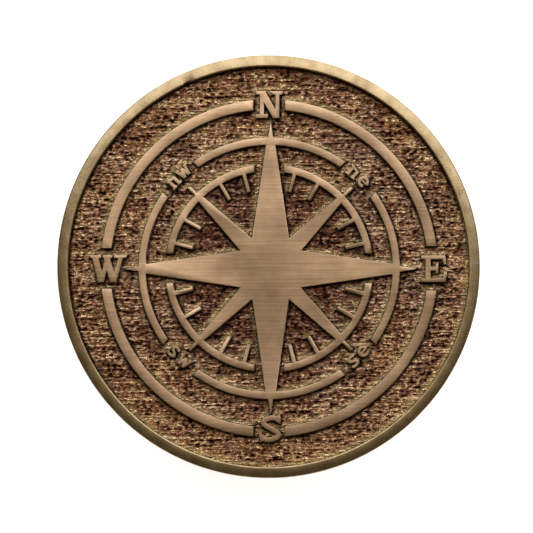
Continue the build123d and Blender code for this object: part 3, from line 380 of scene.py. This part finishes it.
# The field: brown oxide all over, black in the cracks of its grain (oxide and painted shade) and bare metal
# on the crests.
# It is more yellow in patches and towards the rim, and darker and redder in the middle.
cast_bronze, tree, shader, place = start_material("sand_cast_bronze")
height = add(tree, "ShaderNodeSeparateXYZ", {"Vector": place}).outputs["Z"]
field_mm = field_level / mm
grains = add(tree, "ShaderNodeVectorMath", {0: place, 1: (1.6, 3.0, 1)}, operation="MULTIPLY").outputs[0]
grit = add(tree, "ShaderNodeTexNoise", {"Vector": grains, "Scale": 1.0, "Detail": 2.0, "Roughness": 0.55,
                                        "Distortion": 0.8})
depth = add(tree, "ShaderNodeMapRange", {"Value": height, "To Min": 0.0, "To Max": 0.5,
                                         "From Min": field_mm - 0.25, "From Max": field_mm + 0.22}).outputs[0]
crest = add(tree, "ShaderNodeMath", {0: grit.outputs["Fac"], 1: 0.5, 2: depth}, operation="MULTIPLY_ADD")
crest = crest.outputs[0]
# Oxide and painted shade: the colour goes near black in the low cracks of the grain.
tone = add(tree, "ShaderNodeValToRGB", {"Fac": crest},
           stops=((0.35, "#1e110a"), (0.42, "#82563f"), (0.53, "#c7987a"), (0.64, "#f9dab2")))
tone = tone.outputs["Color"]
patch = add(tree, "ShaderNodeTexNoise", {"Vector": place, "Scale": 0.09, "Detail": 3.0, "Roughness": 0.6})
across = from_middle(tree, place)
outward = add(tree, "ShaderNodeMapRange", {"Value": across, "From Min": 12.0, "From Max": 33.0,
                                           "To Max": 0.26}).outputs[0]
patch = add(tree, "ShaderNodeMath", {0: patch.outputs["Fac"], 1: outward}, operation="ADD").outputs[0]
yellow = add(tree, "ShaderNodeMapRange", {"Value": patch, "From Min": 0.5, "From Max": 0.8})
tint = add(tree, "ShaderNodeMix", {"Factor": 0.4, "A": tone, "B": linear("#c9b68a")}, data_type="RGBA",
           blend_type="OVERLAY").outputs["Result"]
tone = add(tree, "ShaderNodeMix", {"Factor": yellow.outputs[0], "A": tone, "B": tint}, data_type="RGBA")
inward = add(tree, "ShaderNodeMapRange", {"Value": across, "From Min": 12.0, "From Max": 19.0,
                                          "To Min": 1.0, "To Max": 0.0})
tone = add(tree, "ShaderNodeMix", {"Factor": inward.outputs[0], "A": tone.outputs["Result"],
                                   "B": linear("#ccb8b4")}, data_type="RGBA", blend_type="MULTIPLY")
# Painted light: the ground on the north-west side of the raised parts and of the rim's wall is painted pale
# yellow.
flank = add(tree, "ShaderNodeAttribute", attribute_name="rubbed_and_lit").outputs["Fac"]
fringe = add(tree, "ShaderNodeMath", {0: flank, 1: 0.75}, operation="MULTIPLY").outputs[0]
tone = add(tree, "ShaderNodeMix", {"Factor": fringe, "A": tone.outputs["Result"], "B": linear("#f7dfa6")},
           data_type="RGBA")
# Painted shadow: the ground at the foot of the raised parts and of the rim is painted near black, except on
# their north-west side.
foot = add(tree, "ShaderNodeAttribute", attribute_name="foot").outputs["Fac"]
painted_shadow = add(tree, "ShaderNodeMath", {0: foot, 1: flank}, operation="SUBTRACT", use_clamp=True).outputs[0]
painted_shadow = add(tree, "ShaderNodeMath", {0: painted_shadow, 1: 0.95}, operation="MULTIPLY").outputs[0]
tone = add(tree, "ShaderNodeMix", {"Factor": painted_shadow, "A": tone.outputs["Result"], "B": linear("#150d09")},
           data_type="RGBA")
bare = add(tree, "ShaderNodeMapRange", {"Value": crest, "From Min": 0.35, "From Max": 0.65,
                                        "To Min": 0.8, "To Max": 1.0})
dull = add(tree, "ShaderNodeMapRange", {"Value": crest, "From Min": 0.3, "From Max": 0.7,
                                        "To Min": 0.42, "To Max": 0.24})
lines = add(tree, "ShaderNodeVectorMath", {0: place, 1: (0.16, 2.2, 1)}, operation="MULTIPLY").outputs[0]
lines = add(tree, "ShaderNodeTexNoise", {"Vector": lines, "Scale": 1.0, "Detail": 1.0})
relief = add(tree, "ShaderNodeMath", {0: lines.outputs["Fac"], 1: 1.3, 2: grit.outputs["Fac"]},
             operation="MULTIPLY_ADD")
bump = add(tree, "ShaderNodeBump", {"Height": relief.outputs[0], "Strength": 1.0, "Distance": 0.0012})
connect(tree, shader, Base_Color=tone.outputs["Result"], Metallic=bare.outputs[0],
        Roughness=dull.outputs[0], Normal=bump.outputs[0])
field.data.materials.clear()
field.data.materials.append(cast_bronze)
end_piece(field, "lid", "lid_bronze", "lid", sharp=180)


# --- Lid: the liner ---------------------------------------------------------------------------------------
# A thin round plate of gilt brass screwed into the lid's pocket. It bears an engraved table of the sun:
# for each month, how many minutes the dial is slow (+) or fast (-). The cuts are filled with black wax.
gilt_brass, tree, shader, place = start_material("satin_gilt_brass", Metallic=1.0)
lines = add(tree, "ShaderNodeVectorMath", {0: place, 1: (0.1, 3.0, 3.0)}, operation="MULTIPLY").outputs[0]
line = add(tree, "ShaderNodeTexNoise", {"Vector": lines, "Scale": 1.0, "Detail": 3.0})
blotch = add(tree, "ShaderNodeTexNoise", {"Vector": place, "Scale": 0.25, "Detail": 5.0, "Roughness": 0.65})
tone = add(tree, "ShaderNodeValToRGB", {"Fac": blotch.outputs["Fac"]},
           stops=((0.3, "#a87f45"), (0.5, "#c9a361"), (0.7, "#dcbb7c"))).outputs["Color"]
shine = add(tree, "ShaderNodeMapRange", {"Value": line.outputs["Fac"], "To Min": 0.24, "To Max": 0.46})
bump = add(tree, "ShaderNodeBump", {"Height": line.outputs["Fac"], "Strength": 0.1, "Distance": 0.0001})
connect(tree, shader, Base_Color=tone, Roughness=shine.outputs[0], Normal=bump.outputs[0])

# Black wax: dull, and a little uneven where it was wiped flush.
black_wax, tree, shader, place = start_material("black_engraver_wax", Roughness=0.5)
fill = add(tree, "ShaderNodeTexNoise", {"Vector": place, "Scale": 2.0, "Detail": 3.0})
tone = add(tree, "ShaderNodeValToRGB", {"Fac": fill.outputs["Fac"]},
           stops=((0.35, "#0d0b09"), (0.65, "#2a241e"))).outputs["Color"]
bump = add(tree, "ShaderNodeBump", {"Height": fill.outputs["Fac"], "Strength": 0.3, "Distance": 0.0001})
connect(tree, shader, Base_Color=tone, Normal=bump.outputs[0])


def dress(material, *nodes):
    """Gives some of the CAD's solids their finish."""
    for node in nodes:
        for socket in parts[node].material_slots:
            socket.material = material


def cut_line(x, y, length, width, turn):
    """Starts a straight cut round a point, turned clockwise from north."""
    bpy.ops.mesh.primitive_plane_add(size=1, location=(x, y, 0), rotation=(0, 0, -turn))
    bpy.context.object.scale = (width, length, 1)
    return bpy.context.object


ring_sides = 160


def cut_ring(radius, width):
    """Starts a round cut, by its middle radius and its width."""
    bpy.ops.mesh.primitive_circle_add(vertices=ring_sides, radius=radius + width / 2, fill_type="NGON")
    start_piece("cut")
    bpy.ops.mesh.inset(thickness=width)
    bpy.ops.mesh.delete(type="FACE")
    bpy.ops.object.mode_set(mode="OBJECT")
    return bpy.context.object


def cut_text(words, x, y, size, turn):
    """Starts letters or numerals whose middle is at a point, turned clockwise from north."""
    bpy.ops.object.text_add(location=(x, y, 0), rotation=(0, 0, -turn))
    words_object = bpy.context.object
    words_object.data.body = words
    words_object.data.size = size
    words_object.data.align_x, words_object.data.align_y = "CENTER", "CENTER"
    bpy.ops.object.convert(target="MESH")
    return bpy.context.object


wax_depth, wax_proud, wax_weld = 0.04 * mm, 0.015 * mm, 0.001 * mm  # it stands just proud of its face


def engrave(name, body, cuts, level, under=False):
    """Joins cuts into the wax that fills them, in a face at a level that looks up, or down if under."""
    bpy.ops.object.select_all(action="DESELECT")
    for cut in cuts:
        cut.select_set(True)
    bpy.context.view_layer.objects.active = cuts[0]
    bpy.ops.object.join()
    wax = bpy.context.object
    bpy.ops.object.transform_apply(location=True, rotation=True, scale=True)
    start_piece(name)
    bpy.ops.mesh.remove_doubles(threshold=wax_weld)
    bpy.ops.mesh.select_all(action="SELECT")
    bpy.ops.mesh.extrude_region_move(TRANSFORM_OT_translate={"value": (0, 0, wax_depth)})
    bpy.ops.mesh.select_all(action="SELECT")
    if under:
        bpy.ops.transform.rotate(value=pi, orient_axis="X", center_override=(0, 0, 0))
    sunk = wax_depth - wax_proud
    bpy.ops.transform.translate(value=(0, 0, level + (sunk if under else -sunk)))
    bpy.ops.mesh.normals_make_consistent(inside=False)
    wax.data.materials.clear()
    wax.data.materials.append(black_wax)
    end_piece(wax, body, "dial_brass" if under else "dial_silvered")


months = (("J", "+9"), ("F", "+14"), ("M", "+9"), ("A", "0"), ("M", "-4"), ("J", "0"),
          ("J", "+6"), ("A", "+4"), ("S", "-5"), ("O", "-14"), ("N", "-15"), ("D", "-5"))
liner_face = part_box("lid_liner")[0][2]
table_out, table_mid, table_in = 21.4 * mm, 16.6 * mm, 11.8 * mm
bold_cut, fine_cut, double_gap = 0.3 * mm, 0.15 * mm, 0.7 * mm
month_size, minutes_size = 3.2 * mm, 2.2 * mm
bpy.ops.object.select_all(action="DESELECT")
table_rings = ((table_out, bold_cut), (table_out + double_gap, fine_cut), (table_mid, fine_cut),
               (table_in, bold_cut))
cuts = [cut_ring(radius, width) for radius, width in table_rings]
for number, (month, minutes) in enumerate(months):
    edge = radians(30 * number)
    turn = edge + radians(15)
    half_way = (table_in + table_out) / 2
    cuts.append(cut_line(half_way * sin(edge), half_way * cos(edge), table_out - table_in, fine_cut, edge))
    outer, inner = (table_out + table_mid) / 2, (table_mid + table_in) / 2
    cuts.append(cut_text(month, outer * sin(turn), outer * cos(turn), month_size, turn))
    cuts.append(cut_text(minutes, inner * sin(turn), inner * cos(turn), minutes_size, turn))
# A sun in the middle: sixteen rays, made as a many-cornered circle whose every second corner is drawn in.
ray_count, ray_tip, drawn_in = 16, 9.5 * mm, 0.45
ray_cut, disc_radius, disc_cut = 0.22 * mm, 3.2 * mm, 0.2 * mm
bpy.ops.mesh.primitive_circle_add(vertices=2 * ray_count, radius=ray_tip, fill_type="NGON")
start_piece("sun")
pick("verts", lambda place, vert: round(atan2(place.x, place.y) * ray_count / pi) % 2 == 1)
bpy.ops.transform.resize(value=(drawn_in, drawn_in, 1), center_override=(0, 0, 0))
bpy.ops.mesh.select_all(action="SELECT")
bpy.ops.mesh.select_mode(type="FACE")
bpy.ops.mesh.inset(thickness=ray_cut)
bpy.ops.mesh.delete(type="FACE")
bpy.ops.object.mode_set(mode="OBJECT")
cuts.append(bpy.context.object)
cuts.append(cut_ring(disc_radius, disc_cut))
engrave("liner_engraving", "lid", cuts, liner_face, under=True)
dress(gilt_brass, "lid_liner")


# --- Case -------------------------------------------------------------------------------------------------
# A brass box with a flared foot, and the pillars and the bowl inside it. Cast, turned on a lathe and never
# lacquered: fine rings from the tool, brown oxide in patches, and bare brass where it is handled.
turned_brass, tree, shader, place = start_material("aged_turned_brass", Metallic=1.0)
split = add(tree, "ShaderNodeSeparateXYZ", {"Vector": place})
across = from_middle(tree, place)
tooled = add(tree, "ShaderNodeCombineXYZ", {"X": across, "Y": split.outputs["Z"]}).outputs[0]
rings = add(tree, "ShaderNodeTexNoise", {"Vector": tooled, "Scale": 4.0, "Detail": 2.0, "Roughness": 0.6})
blotch = add(tree, "ShaderNodeTexNoise", {"Vector": place, "Scale": 0.18, "Detail": 6.0, "Roughness": 0.65})
mixed = add(tree, "ShaderNodeMath", {0: rings.outputs["Fac"], 1: 0.25}, operation="MULTIPLY").outputs[0]
mixed = add(tree, "ShaderNodeMath", {0: blotch.outputs["Fac"], 1: 0.75, 2: mixed}, operation="MULTIPLY_ADD")
mixed = mixed.outputs[0]
tone = add(tree, "ShaderNodeValToRGB", {"Fac": mixed},
           stops=((0.32, "#71562f"), (0.46, "#9a7b49"), (0.58, "#ad8d57"), (0.7, "#bf9f68"))).outputs["Color"]
shine = add(tree, "ShaderNodeMapRange", {"Value": mixed, "From Min": 0.35, "From Max": 0.65,
                                         "To Min": 0.5, "To Max": 0.24})
bump = add(tree, "ShaderNodeBump", {"Height": rings.outputs["Fac"], "Strength": 0.25, "Distance": 0.0001})
connect(tree, shader, Base_Color=tone, Roughness=shine.outputs[0], Normal=bump.outputs[0])
dress(turned_brass, "case_body", "dial_pillars", "compass_bowl")


# --- Hinge ------------------------------------------------------------------------------------------------
# Two leaves of yellow brass with rolled knuckles on a steel pin, riveted to the case and let into the lid.
# Filed and rubbed bright, then dulled by age.
hinge_brass, tree, shader, place = start_material("filed_hinge_brass", Metallic=1.0)
strokes = add(tree, "ShaderNodeVectorMath", {0: place, 1: (0.5, 4.0, 4.0)}, operation="MULTIPLY").outputs[0]
stroke = add(tree, "ShaderNodeTexNoise", {"Vector": strokes, "Scale": 1.0, "Detail": 4.0, "Roughness": 0.6})
blotch = add(tree, "ShaderNodeTexNoise", {"Vector": place, "Scale": 0.4, "Detail": 4.0, "Roughness": 0.6})
tone = add(tree, "ShaderNodeValToRGB", {"Fac": blotch.outputs["Fac"]},
           stops=((0.32, "#6f5430"), (0.5, "#a5834c"), (0.68, "#c4a268"))).outputs["Color"]
shine = add(tree, "ShaderNodeMapRange", {"Value": stroke.outputs["Fac"], "To Min": 0.25, "To Max": 0.5})
bump = add(tree, "ShaderNodeBump", {"Height": stroke.outputs["Fac"], "Strength": 0.25, "Distance": 0.0001})
connect(tree, shader, Base_Color=tone, Roughness=shine.outputs[0], Normal=bump.outputs[0])
dress(hinge_brass, "case_hinge", "lid_hinge", "hinge_rivets")


# --- Pins and screws --------------------------------------------------------------------------------------
# Hardened steel: turned pins, and countersunk slotted screws in the plates. Their heads were polished,
# and have gone a little grey.
polished_steel, tree, shader, place = start_material("polished_hardened_steel", Metallic=1.0)
smear = add(tree, "ShaderNodeTexNoise", {"Vector": place, "Scale": 1.6, "Detail": 4.0, "Roughness": 0.6})
tone = add(tree, "ShaderNodeValToRGB", {"Fac": smear.outputs["Fac"]},
           stops=((0.3, "#8b8983"), (0.5, "#aeadab"), (0.7, "#c8c8c9"))).outputs["Color"]
shine = add(tree, "ShaderNodeMapRange", {"Value": smear.outputs["Fac"], "To Min": 0.16, "To Max": 0.36})
scratch = add(tree, "ShaderNodeTexNoise", {"Vector": place, "Scale": 9.0, "Detail": 2.0})
bump = add(tree, "ShaderNodeBump", {"Height": scratch.outputs["Fac"], "Strength": 0.08, "Distance": 0.0001})
connect(tree, shader, Base_Color=tone, Roughness=shine.outputs[0], Normal=bump.outputs[0])
dress(polished_steel, "hinge_pin", "liner_screws", "dial_screws", "bowl_screws", "pivot_pin", "lifter_pin",
      "gnomon_pins", "spring_screw")


# --- Dial plate -------------------------------------------------------------------------------------------
# A brass plate silvered by rubbing, screwed to four pillars. It bears the hours from four in the morning
# to eight in the evening for a latitude of 50 degrees, engraved and filled with black wax.
silvered_brass, tree, shader, place = start_material("rubbed_silvered_brass", Metallic=1.0)
split = add(tree, "ShaderNodeSeparateXYZ", {"Vector": place})
across = from_middle(tree, place)
rubbing = add(tree, "ShaderNodeCombineXYZ", {"X": across, "Y": split.outputs["Z"]}).outputs[0]
rings = add(tree, "ShaderNodeTexNoise", {"Vector": rubbing, "Scale": 3.0, "Detail": 3.0})
tarnish = add(tree, "ShaderNodeTexNoise", {"Vector": place, "Scale": 0.2, "Detail": 6.0, "Roughness": 0.7})
tone = add(tree, "ShaderNodeValToRGB", {"Fac": tarnish.outputs["Fac"]},
           stops=((0.26, "#aca084"), (0.44, "#c8c2b0"), (0.6, "#d4d0c4"))).outputs["Color"]
shine = add(tree, "ShaderNodeMapRange", {"Value": rings.outputs["Fac"], "To Min": 0.36, "To Max": 0.58})
bump = add(tree, "ShaderNodeBump", {"Height": rings.outputs["Fac"], "Strength": 0.12, "Distance": 0.0001})
connect(tree, shader, Base_Color=tone, Roughness=shine.outputs[0], Normal=bump.outputs[0])
dress(silvered_brass, "dial_plate")

plate_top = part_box("dial_plate")[1][2]
latitude = radians(50)
style_foot = Vector((0, -16.4 * mm))  # where the raised style's edge would meet the dial
hours_in, hours_out, numerals, dial_edge = 21.9 * mm, 23.6 * mm, 25.2 * mm, 29.2 * mm
hair_cut, hour_cut, edge_cut, numeral_size = 0.12 * mm, 0.2 * mm, 0.3 * mm, 2.1 * mm
half_hour_length, quarter_length = 1.0 * mm, 0.6 * mm


def on_ring(turn, radius):
    """Where a line from the style's foot, turned clockwise from north, meets a ring round the dial."""
    along = Vector((sin(turn), cos(turn)))
    half = style_foot.dot(along)
    return style_foot + along * (-half + (half ** 2 - style_foot.length_squared + radius ** 2) ** 0.5)


bpy.ops.object.select_all(action="DESELECT")
dial_rings = ((hours_in, hair_cut), (hours_out, hour_cut), (dial_edge, edge_cut))
cuts = [cut_ring(radius, width) for radius, width in dial_rings]
morning = ("IV", "V", "VI", "VII", "VIII", "IX", "X", "XI", "XII")
names = morning + ("I", "II", "III", "IIII", "V", "VI", "VII", "VIII")
starts = (hours_in, hours_out - quarter_length, hours_out - half_hour_length, hours_out - quarter_length)
for quarter in range(4 * (len(names) - 1) + 1):
    sun = radians(15 * (quarter / 4 - 8))  # the sun's angle from noon
    turn = atan2(sin(latitude) * sin(sun), cos(sun))
    first, last = on_ring(turn, starts[quarter % 4]), on_ring(turn, hours_out)
    middle = (first + last) / 2
    width = hair_cut if quarter % 4 else hour_cut
    cuts.append(cut_line(middle.x, middle.y, (last - first).length, width, turn))
    if quarter % 4 == 0:
        spot = last.normalized() * numerals
        cuts.append(cut_text(names[quarter // 4], spot.x, spot.y, numeral_size, atan2(spot.x, spot.y)))
engrave("dial_engraving", "case", cuts, plate_top)


# --- Compass card -----------------------------------------------------------------------------------------
# A silvered disc on the bowl's floor, with an eight-pointed rose whose points are half filled, a ring of
# degrees, and the four quarters. Engraved and filled with black wax.
dress(silvered_brass, "compass_card")
card_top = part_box("compass_card")[1][2]
bpy.ops.object.select_all(action="DESELECT")
degrees_in, degrees_out, card_edge, card_words = 12.2 * mm, 13.1 * mm, 16.1 * mm, 15.05 * mm
card_edge_cut, tick_length, tick_extra = 0.25 * mm, 0.9 * mm, 0.4 * mm
quarter_size, degree_size, card_rose_radius = 1.9 * mm, 1.15 * mm, 11.4 * mm
card_rings = ((degrees_in, hair_cut), (degrees_out, hair_cut), (card_edge, card_edge_cut))
cuts = [cut_ring(radius, width) for radius, width in card_rings]
for step in range(72):
    turn = radians(5 * step)
    extra = 0 if step % 2 else tick_extra  # every tenth degree's tick starts further in
    middle = degrees_out + (tick_length - extra) / 2
    cuts.append(cut_line(middle * sin(turn), middle * cos(turn), tick_length + extra, hair_cut, turn))
for number in range(12):
    turn = radians(30 * number)
    words = {0: "N", 3: "E", 6: "S", 9: "W"}.get(number, str(30 * number))
    size = quarter_size if len(words) == 1 else degree_size
    cuts.append(cut_text(words, card_words * sin(turn), card_words * cos(turn), size, turn))
bpy.ops.mesh.primitive_circle_add(vertices=16, radius=card_rose_radius, fill_type="TRIFAN")
start_piece("card_rose")
quarter_point, half_quarter_point, hollow = 1.0, 0.68, 0.24  # how far out the corners stay
for number in range(16):
    pick("verts", lambda place, vert: place.length > card_rose_radius / 2
         and round(degrees(atan2(place.x, place.y)) / 22.5) % 16 == number)
    size = (quarter_point, hollow, half_quarter_point, hollow)[number % 4]
    bpy.ops.transform.resize(value=(size, size, 1), center_override=(0, 0, 0))
pick("faces", lambda middle, face: degrees(atan2(middle.x, middle.y)) % 45 > 22.5)
bpy.ops.mesh.delete(type="FACE")
bpy.ops.object.mode_set(mode="OBJECT")
cuts.append(bpy.context.object)
engrave("card_engraving", "case", cuts, card_top)


# --- Compass glass ----------------------------------------------------------------------------------------
# A flat disc of clear crown glass on the bowl's ledge, a little smeared. It is held down by a split ring
# of brass that springs into the bowl.
crown_glass, tree, shader, place = start_material("clear_crown_glass", Transmission_Weight=1.0, IOR=1.5,
                                                  Alpha=0.22)
smear = add(tree, "ShaderNodeTexNoise", {"Vector": place, "Scale": 0.3, "Detail": 5.0})
shine = add(tree, "ShaderNodeMapRange", {"Value": smear.outputs["Fac"], "To Min": 0.0, "To Max": 0.06})
tone = add(tree, "ShaderNodeValToRGB", {"Fac": smear.outputs["Fac"]},
           stops=((0.3, "#eef6f2"), (0.7, "#fbfdfc"))).outputs["Color"]
connect(tree, shader, Base_Color=tone, Roughness=shine.outputs[0])
dress(crown_glass, "compass_glass")


# --- Compass needle, its cap and weight, and the lifter and its lock --------------------------------------
# Small parts of gilt brass round the needle: the cap that turns on the pin, the weight that levels the
# needle, the lever that lifts it off the pin, and the slide with a fluted knob that works the lever.
dress(gilt_brass, "needle_cap", "needle_weight", "lifter_lever", "lifter_bracket", "lock_slide", "lock_knob",
      "glass_ring")

# The needle and the gnomon's spring: steel blued over a flame, deep blue, with purple at the hot spots.
blued_steel, tree, shader, place = start_material("flame_blued_steel", Metallic=1.0)
heat = add(tree, "ShaderNodeTexNoise", {"Vector": place, "Scale": 0.22, "Detail": 3.0})
tone = add(tree, "ShaderNodeValToRGB", {"Fac": heat.outputs["Fac"]},
           stops=((0.3, "#16224f"), (0.5, "#24459b"), (0.7, "#4c4a97"))).outputs["Color"]
smear = add(tree, "ShaderNodeTexNoise", {"Vector": place, "Scale": 3.0, "Detail": 3.0})
shine = add(tree, "ShaderNodeMapRange", {"Value": smear.outputs["Fac"], "To Min": 0.14, "To Max": 0.34})
connect(tree, shader, Base_Color=tone, Roughness=shine.outputs[0])
dress(blued_steel, "compass_needle", "gnomon_spring")

# The jewel in the cap: a polished red garnet, clear enough to glow.
garnet, tree, shader, place = start_material("polished_garnet", Transmission_Weight=0.5, IOR=1.76,
                                             Roughness=0.05)
cloud = add(tree, "ShaderNodeTexNoise", {"Vector": place, "Scale": 2.5, "Detail": 2.0})
tone = add(tree, "ShaderNodeValToRGB", {"Fac": cloud.outputs["Fac"]},
           stops=((0.35, "#5c0716"), (0.65, "#a3122b"))).outputs["Color"]
connect(tree, shader, Base_Color=tone)
dress(garnet, "cap_jewel")


# --- Gnomon -----------------------------------------------------------------------------------------------
# A brass frame hinged between two lugs, and a silvered style that turns on a rivet over it to suit the
# latitude. The style's west face bears a scale from 40 to 60 degrees, read against the frame's upper edge.
dress(gilt_brass, "south_lug", "north_lug", "gnomon_frame", "style_rivet")
dress(silvered_brass, "gnomon_style")
rivet_low, rivet_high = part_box("style_rivet")
style_pivot = Vector(((rivet_low[0] + rivet_high[0]) / 2, (rivet_low[1] + rivet_high[1]) / 2))
style_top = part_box("gnomon_style")[1][2]
scale_out, scale_words, scale_word_size, scale_cut = 25.2 * mm, 22.5 * mm, 1.7 * mm, 0.1 * mm
half_degree, whole_degree, fifth_degree = 0.5 * mm, 0.9 * mm, 1.4 * mm  # how long their ticks are
scale_start, scale_end, scale_zero = 40, 60, 86  # the scale's degrees, and what it would read due north
bpy.ops.object.select_all(action="DESELECT")


def on_scale(degree, radius):
    """The direction of a degree on the style's scale, clockwise from north, and its place on a radius."""
    turn = radians(scale_zero - degree)
    return turn, style_pivot + Vector((sin(turn), cos(turn))) * radius


cuts = []
for step in range(2 * (scale_end - scale_start) + 1):
    degree = scale_start + step / 2
    length = half_degree if step % 2 else whole_degree if step % 10 else fifth_degree
    turn, middle = on_scale(degree, scale_out - length / 2)
    cuts.append(cut_line(middle.x, middle.y, length, scale_cut, turn))
    if step % 10 == 0:
        turn, spot = on_scale(degree, scale_words)
        cuts.append(cut_text(str(round(degree)), spot.x, spot.y, scale_word_size, turn))
arc_step = 2.02 * scale_out * sin(radians(0.5))  # one degree of the scale's arc, with a small overlap
for degree in range(scale_start, scale_end):
    turn, spot = on_scale(degree + 0.5, scale_out)
    cuts.append(cut_line(spot.x, spot.y, hair_cut, arc_step, turn))
engrave("style_engraving", "style", cuts, style_top)


# --- Studio -----------------------------------------------------------------------------------------------
# A white floor, a wide soft window high in the north, and a camera straight above with north at the top.
floor_width, floor_drop = 4, 0.02 * mm
bpy.ops.mesh.primitive_plane_add(size=floor_width, location=(0, 0, -floor_drop))
floor = bpy.context.object
floor.name = "floor"
paper, tree, shader, place = start_material("lit_white_table", Roughness=0.9)
shader.inputs["Base Color"].default_value = linear("#f8f8f8")
shader.inputs["Emission Color"].default_value = linear("#ffffff")
shader.inputs["Emission Strength"].default_value = 0.85
floor.data.materials.append(paper)

scene = bpy.context.scene
scene.view_settings.view_transform = "Standard"
scene.world = bpy.data.worlds.new("studio")
scene.world.use_nodes = True
sky = scene.world.node_tree.nodes["Background"]
sky.inputs["Color"].default_value = linear("#f0ddc0")
sky.inputs["Strength"].default_value = 0.14

# Each light: width and height, watts, degrees from straight up, compass direction, distance, and colour.
lights = {
    "north_window": (1.5, 1.3, 13.5, 51.5, 7, 0.8, "#f3f6ff"),
    "ceiling": (1.7, 1.5, 1.6, 17, 0, 1.4, "#fff2e0"),
    "overhead": (0.65, 0.65, 0.62, 0, 0, 1.3, "#fff2e0"),
}
for name, (width, height, watts, lean, bearing, away, colour) in lights.items():
    light = bpy.data.lights.new(name, "AREA")
    light.shape = "RECTANGLE"
    light.size, light.size_y = width, height
    light.energy = watts
    light.color = linear(colour)[:3]
    stand = bpy.data.objects.new(name, light)
    towards = Vector((sin(radians(lean)) * sin(radians(bearing)), sin(radians(lean)) * cos(radians(bearing)),
                      cos(radians(lean))))
    stand.location = towards * away
    stand.rotation_euler = towards.to_track_quat("Z", "Y").to_euler()
    scene.collection.objects.link(stand)

camera = bpy.data.objects.new("camera", bpy.data.cameras.new("camera"))
camera_height, view_width, aim = 0.6, 88.1 * mm, (-0.33 * mm, 0.03 * mm)
camera.location = (*aim, rim_top + camera_height)
camera.data.lens = camera.data.sensor_width * camera_height / view_width
camera.data.clip_start = 0.01
scene.collection.objects.link(camera)
scene.camera = camera
